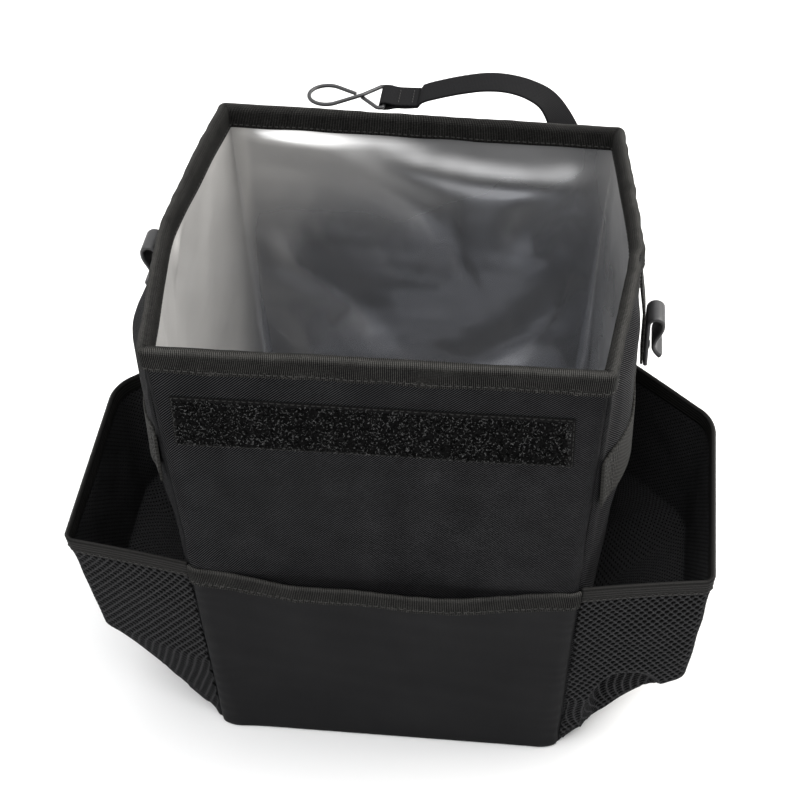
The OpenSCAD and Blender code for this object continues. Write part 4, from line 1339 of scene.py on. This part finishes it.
def make_clip(left):
    """Moulded plastic clip with its tab of webbing."""
    side, flip = handed(left)
    low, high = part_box(side + "_bag_clip")
    plate_x = (-high.x if left else low.x) + CLIP_T / 2
    line = clip_line()
    path = np.stack([plate_x + line[:, 0], np.zeros(len(line)), high.z + line[:, 1]], -1) * flip
    along = unit(np.gradient(path, axis=0))
    across = np.tile([0, 1.0, 0], (len(path), 1))
    up = np.cross(along, across)
    sections = [clip_section(k / (CLIP_POINTS - 1)) for k in range(CLIP_POINTS)]
    rings = [p + a * s[:, :1] + u * s[:, 1:] for p, a, u, s in zip(path, across, up, sections)]
    made = surface(side + "_clip_plastic", np.array(rings), wrap=True, caps=("first", "last"))
    finish_piece(made, PLASTIC, [side + "_bag_clip"])
    low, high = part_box(side + "_clip_tab")
    x_low = plate_x - CLIP_T / 2 - SEAT - WEBBING_T / 2
    tab_z = np.linspace(low.z, high.z, 60)
    own = side_x(0.0, tab_z) + SEAT + WEBBING_T / 2
    bend_z = max(low.z + 14 * MM, HANDLE_Z + HANDLE_W / 2 + 4 * MM)
    t = np.clip((tab_z - bend_z) / (high.z - bend_z), 0, 1)
    x = np.maximum(own, mix(x_low, own, (1 - np.cos(np.pi * t)) / 2))
    x = np.where(tab_z < bend_z, x_low, x)
    path = np.stack([x, np.zeros_like(x), tab_z], -1) * flip
    across = np.tile([0, 1.0, 0], (len(path), 1))
    tab = sweep(side + "_tab_webbing", path, across, band_section(CLIP_W, WEBBING_T))
    finish_piece(tab, WEBBING, [side + "_clip_tab"])
    side + "_wall_cloth"


STRAP_Y = HALF_D + SEAT + STRAP_T / 2
STRAP_REACH = 8.5 * MM
BOX_LOW, BOX_HIGH = 3 * MM, 24 * MM
LOOP_GAP = 0.35


def strap_route():
    """Listed middle points of the strap and the direction of its width at each."""
    y, z = STRAP_Y / MM, BODY_H / MM
    bar = BAR / MM
    rows = [((88, y, z - 125), (1, 0, 0)), ((88, y, z - 90), (1, 0, 0)), ((88, y, z - 55), (1, 0.02, 0)),
            ((87, y + 2.4, z - 34), (1, 0.16, 0)), ((84.2, y + 6.8, z - 18), (1, 0.5, 0)),
            ((79.2, y + 11, z - 5), (0.75, 0.95, -0.03)), ((71.6, y + 13.4, z + 6), (0.4, 1, -0.02)),
            ((61.2, y + 14, z + 12.5), (0.15, 1, 0)), ((49, y + 14, z + 16), (0, 1, 0)),
            ((36.5, y + 13.6, z + 16.6), (0, 1, 0)), ((23.4, y + 13.2, z + 14.6), (0, 1, 0)),
            ((10.8, y + 12.8, z + 11.5), (0, 1, 0)), ((1.5, y + 12.3, z + 8.6), (0, 1, 0))]
    points = [np.array(p) for p, _ in rows]
    widths = [unit(np.array(w, float)) for _, w in rows]
    up = np.array([0, 0, 1.0])
    loop = WIRE_R / MM + LOOP_GAP + STRAP_T / MM / 2
    under = [(19, 0.2), (13, -0.7), (8, -0.75), (5, -1.2), (2.6, -1.9)]
    turn = np.radians(np.linspace(-110, -250, 6))
    around = [(loop * math.cos(a), loop * math.sin(a)) for a in turn]
    over = [(2.6, 1.9), (5, 1.2), (8, 0.78), (13, 0.75), (19.5, 0.85)]
    for x, lift in under + around + over:
        points.append(bar + np.array([x, 0, 0]) + up * lift)
        widths.append(np.array([0, 1.0, 0]))
    return np.array(points) * MM, np.array(widths)


def make_strap():
    """Hanging strap: sewn flat to the back, over in an arch, round the hook's bar and sewn on itself."""
    points, widths = strap_route()
    route = np.hstack([points, widths * MM])
    route = flowing(route, 330)
    path, across = route[:, :3], unit(route[:, 3:])
    made = sweep("back_strap_webbing", path, across, band_section(STRAP_W, STRAP_T, flat=8))
    finish_piece(made, STRAP, ["back_strap"])
    along = unit(np.gradient(path, axis=0))
    up = unit(np.cross(along, across))
    run = lengths(path)
    rows = []
    box = (run > BOX_LOW) & (run < BOX_HIGH)
    lift = STRAP_T / 2 + THREAD_LIFT
    away = up if up[5, 1] > 0 else -up
    for shift in (-8, 8):
        rows.append(((path + away * lift + across * shift * MM)[box], away[box]))
    for at in (4, 13.5, 23):
        k = int(np.argmin(np.abs(run - at * MM)))
        rows.append(short_row(path[k] + away[k] * lift, away[k], across[k], STRAP_REACH))
    for back in (3, 11):
        k = int(np.argmin(np.abs(run - (run[-1] - back * MM))))
        top = up[k] if up[k, 2] > 0 else -up[k]
        rows.append(short_row(path[k] + top * lift, top, across[k], STRAP_REACH))
    sewn = stitches("back_strap_stitches", rows, length=2 * MM, seed=10)
    finish_piece(sewn, THREAD)


def hook_line():
    """The hook's one wire in its own plane: short end past the crossing, eye round the bar, crossing,
    open bow, and back to just short of the crossing."""
    half_bar = STRAP_W / 2 + (0.3 + LOOP_GAP) * MM + WIRE_R
    leg_x, cross_x = -3.6 * MM, -13 * MM
    over = np.array([0, 0, 0.95 * WIRE_R])
    eye_a, eye_b = np.array([leg_x, half_bar, 0]), np.array([leg_x, -half_bar, 0])
    bar_a, bar_b = np.array([0, half_bar, 0]), np.array([0, -half_bar, 0])
    crossing = np.array([cross_x, 0, 0])
    open_a = math.asin(HOOK_R / (HOOK_L + cross_x))
    turn = open_a - math.pi / 2 - (math.pi + 2 * open_a) * np.linspace(0, 1, 60)
    bow = np.stack([HOOK_R * np.cos(turn) - HOOK_L, HOOK_R * np.sin(turn), 0 * turn], -1)
    bend = 1.9 * MM
    start = crossing - over + unit(crossing - eye_b) * 1.5 * MM
    line = np.vstack([start, crossing - over, rounded_corner(crossing, eye_b, bar_b, 2.2 * MM, 8),
                      rounded_corner(eye_b, bar_b, bar_a, bend * 0.8, 8),
                      rounded_corner(bar_b, bar_a, eye_a, bend * 0.8, 8),
                      rounded_corner(bar_a, eye_a, crossing, 2.2 * MM, 8), crossing + over,
                      mix(crossing + over, bow[0], 0.5), bow, mix(bow[-1], crossing, 0.4),
                      mix(bow[-1], crossing, 0.72)])
    return resample(line, 260)


def make_hook():
    """Coated wire hook that turns on its bar in the strap's sewn end."""
    path = smoothed(hook_line(), 5) + BAR
    plane = np.tile([0, 0, 1.0], (len(path), 1))
    made = sweep("hook_wire", path, plane, round_section(WIRE_R, 14))
    finish_piece(made, HOOK_METAL, ["strap_hook"], "hook")


def dress_solids():
    """Finishes of the solids that show as they are: hidden boards and the clips' rivets."""
    for name, made in nodes.items():
        for ending, material in (("board", BOARD), ("rivet", RIVET_METAL)):
            if name.endswith(ending):
                made.data.materials.clear()
                made.data.materials.append(material)


AIM = Vector((-1.84, 0, 161.97)) * MM
AZIMUTH, ELEVATION, ROLL = math.radians(7.49), math.radians(40.57), math.radians(-1.65)
DISTANCE, LENS, SENSOR_W = 1002.3 * MM, 79.47, 36


def make_camera():
    """Camera at the photograph's angle, turned a little about its own axis."""
    data = bpy.data.cameras.new("camera")
    camera = bpy.data.objects.new("camera", data)
    bpy.context.scene.collection.objects.link(camera)
    back = Vector((math.sin(AZIMUTH) * math.cos(ELEVATION), -math.cos(AZIMUTH) * math.cos(ELEVATION),
                   math.sin(ELEVATION)))
    right = Vector((math.cos(AZIMUTH), math.sin(AZIMUTH), 0))
    up = back.cross(right)
    x_axis = right * math.cos(ROLL) + up * math.sin(ROLL)
    y_axis = up * math.cos(ROLL) - right * math.sin(ROLL)
    turned = Matrix((x_axis, y_axis, back)).transposed().to_4x4()
    camera.matrix_world = Matrix.Translation(AIM + back * DISTANCE) @ turned
    data.lens = LENS
    data.sensor_width = SENSOR_W
    data.clip_start, data.clip_end = 0.05, 30
    bpy.context.scene.camera = camera


WORLD_LEVEL = 0.42
FLOOR_REACH = 6.0


def area_light(name, place, aim, size, power, colour=(1, 1, 1)):
    """Soft rectangular lamp that points at aim."""
    data = bpy.data.lights.new(name, "AREA")
    data.shape = "RECTANGLE"
    data.size, data.size_y = size
    data.energy = power
    data.color = colour
    lamp = bpy.data.objects.new(name, data)
    bpy.context.scene.collection.objects.link(lamp)
    lamp.location = place
    lamp.rotation_euler = (Vector(aim) - Vector(place)).to_track_quat("-Z", "Y").to_euler()


def make_studio():
    """Pale floor, soft lamps and a plain world, white to the camera and to reflections and darker as
    a light."""
    mesh = bpy.data.meshes.new("floor")
    corners = [(x * FLOOR_REACH, y * FLOOR_REACH, 0) for x, y in ((-1, -1), (1, -1), (1, 1), (-1, 1))]
    mesh.from_pydata(corners, [], [(0, 1, 2, 3)])
    floor = bpy.data.objects.new("floor", mesh)
    bpy.context.scene.collection.objects.link(floor)
    f = Finish("pale_floor", Roughness=0.9, Specular_IOR_Level=0.1)
    f.dress((0.93, 0.93, 0.93))
    floor.data.materials.append(f.material)
    world = bpy.data.worlds.new("studio")
    world.use_nodes = True
    bpy.context.scene.world = world
    tree = world.node_tree
    tree.nodes.clear()
    output = tree.nodes.new("ShaderNodeOutputWorld")
    background = tree.nodes.new("ShaderNodeBackground")
    path = tree.nodes.new("ShaderNodeLightPath")
    seen = tree.nodes.new("ShaderNodeMath")
    seen.operation = "MAXIMUM"
    tree.links.new(path.outputs["Is Camera Ray"], seen.inputs[0])
    tree.links.new(path.outputs["Is Glossy Ray"], seen.inputs[1])
    level = tree.nodes.new("ShaderNodeMapRange")
    level.inputs["To Min"].default_value = WORLD_LEVEL
    level.inputs["To Max"].default_value = 1.0
    tree.links.new(seen.outputs[0], level.inputs["Value"])
    tree.links.new(level.outputs["Result"], background.inputs["Strength"])
    background.inputs["Color"].default_value = (1, 1, 1, 1)
    tree.links.new(background.outputs[0], output.inputs[0])
    aim = (0, 0, 0.15)
    area_light("key", (1.15, 0.55, 1.25), aim, (1.2, 1.2), 40, (1, 0.985, 0.96))
    area_light("front", (-0.25, -1.3, 1.25), aim, (1.2, 0.7), 7, (0.98, 0.99, 1))
    area_light("top", (-0.45, -0.1, 1.7), aim, (3.2, 2.8), 50)


make_camera()
make_studio()
make_walls()
make_base()
make_liner()
make_rim_tape()
make_loop_strip()
make_front_pocket()
for make_one in (make_mesh_pocket, make_handle, make_clip):
    for left in (True, False):
        make_one(left)
make_strap()
make_hook()
dress_solids()

bpy.context.scene.view_settings.view_transform = "Standard"
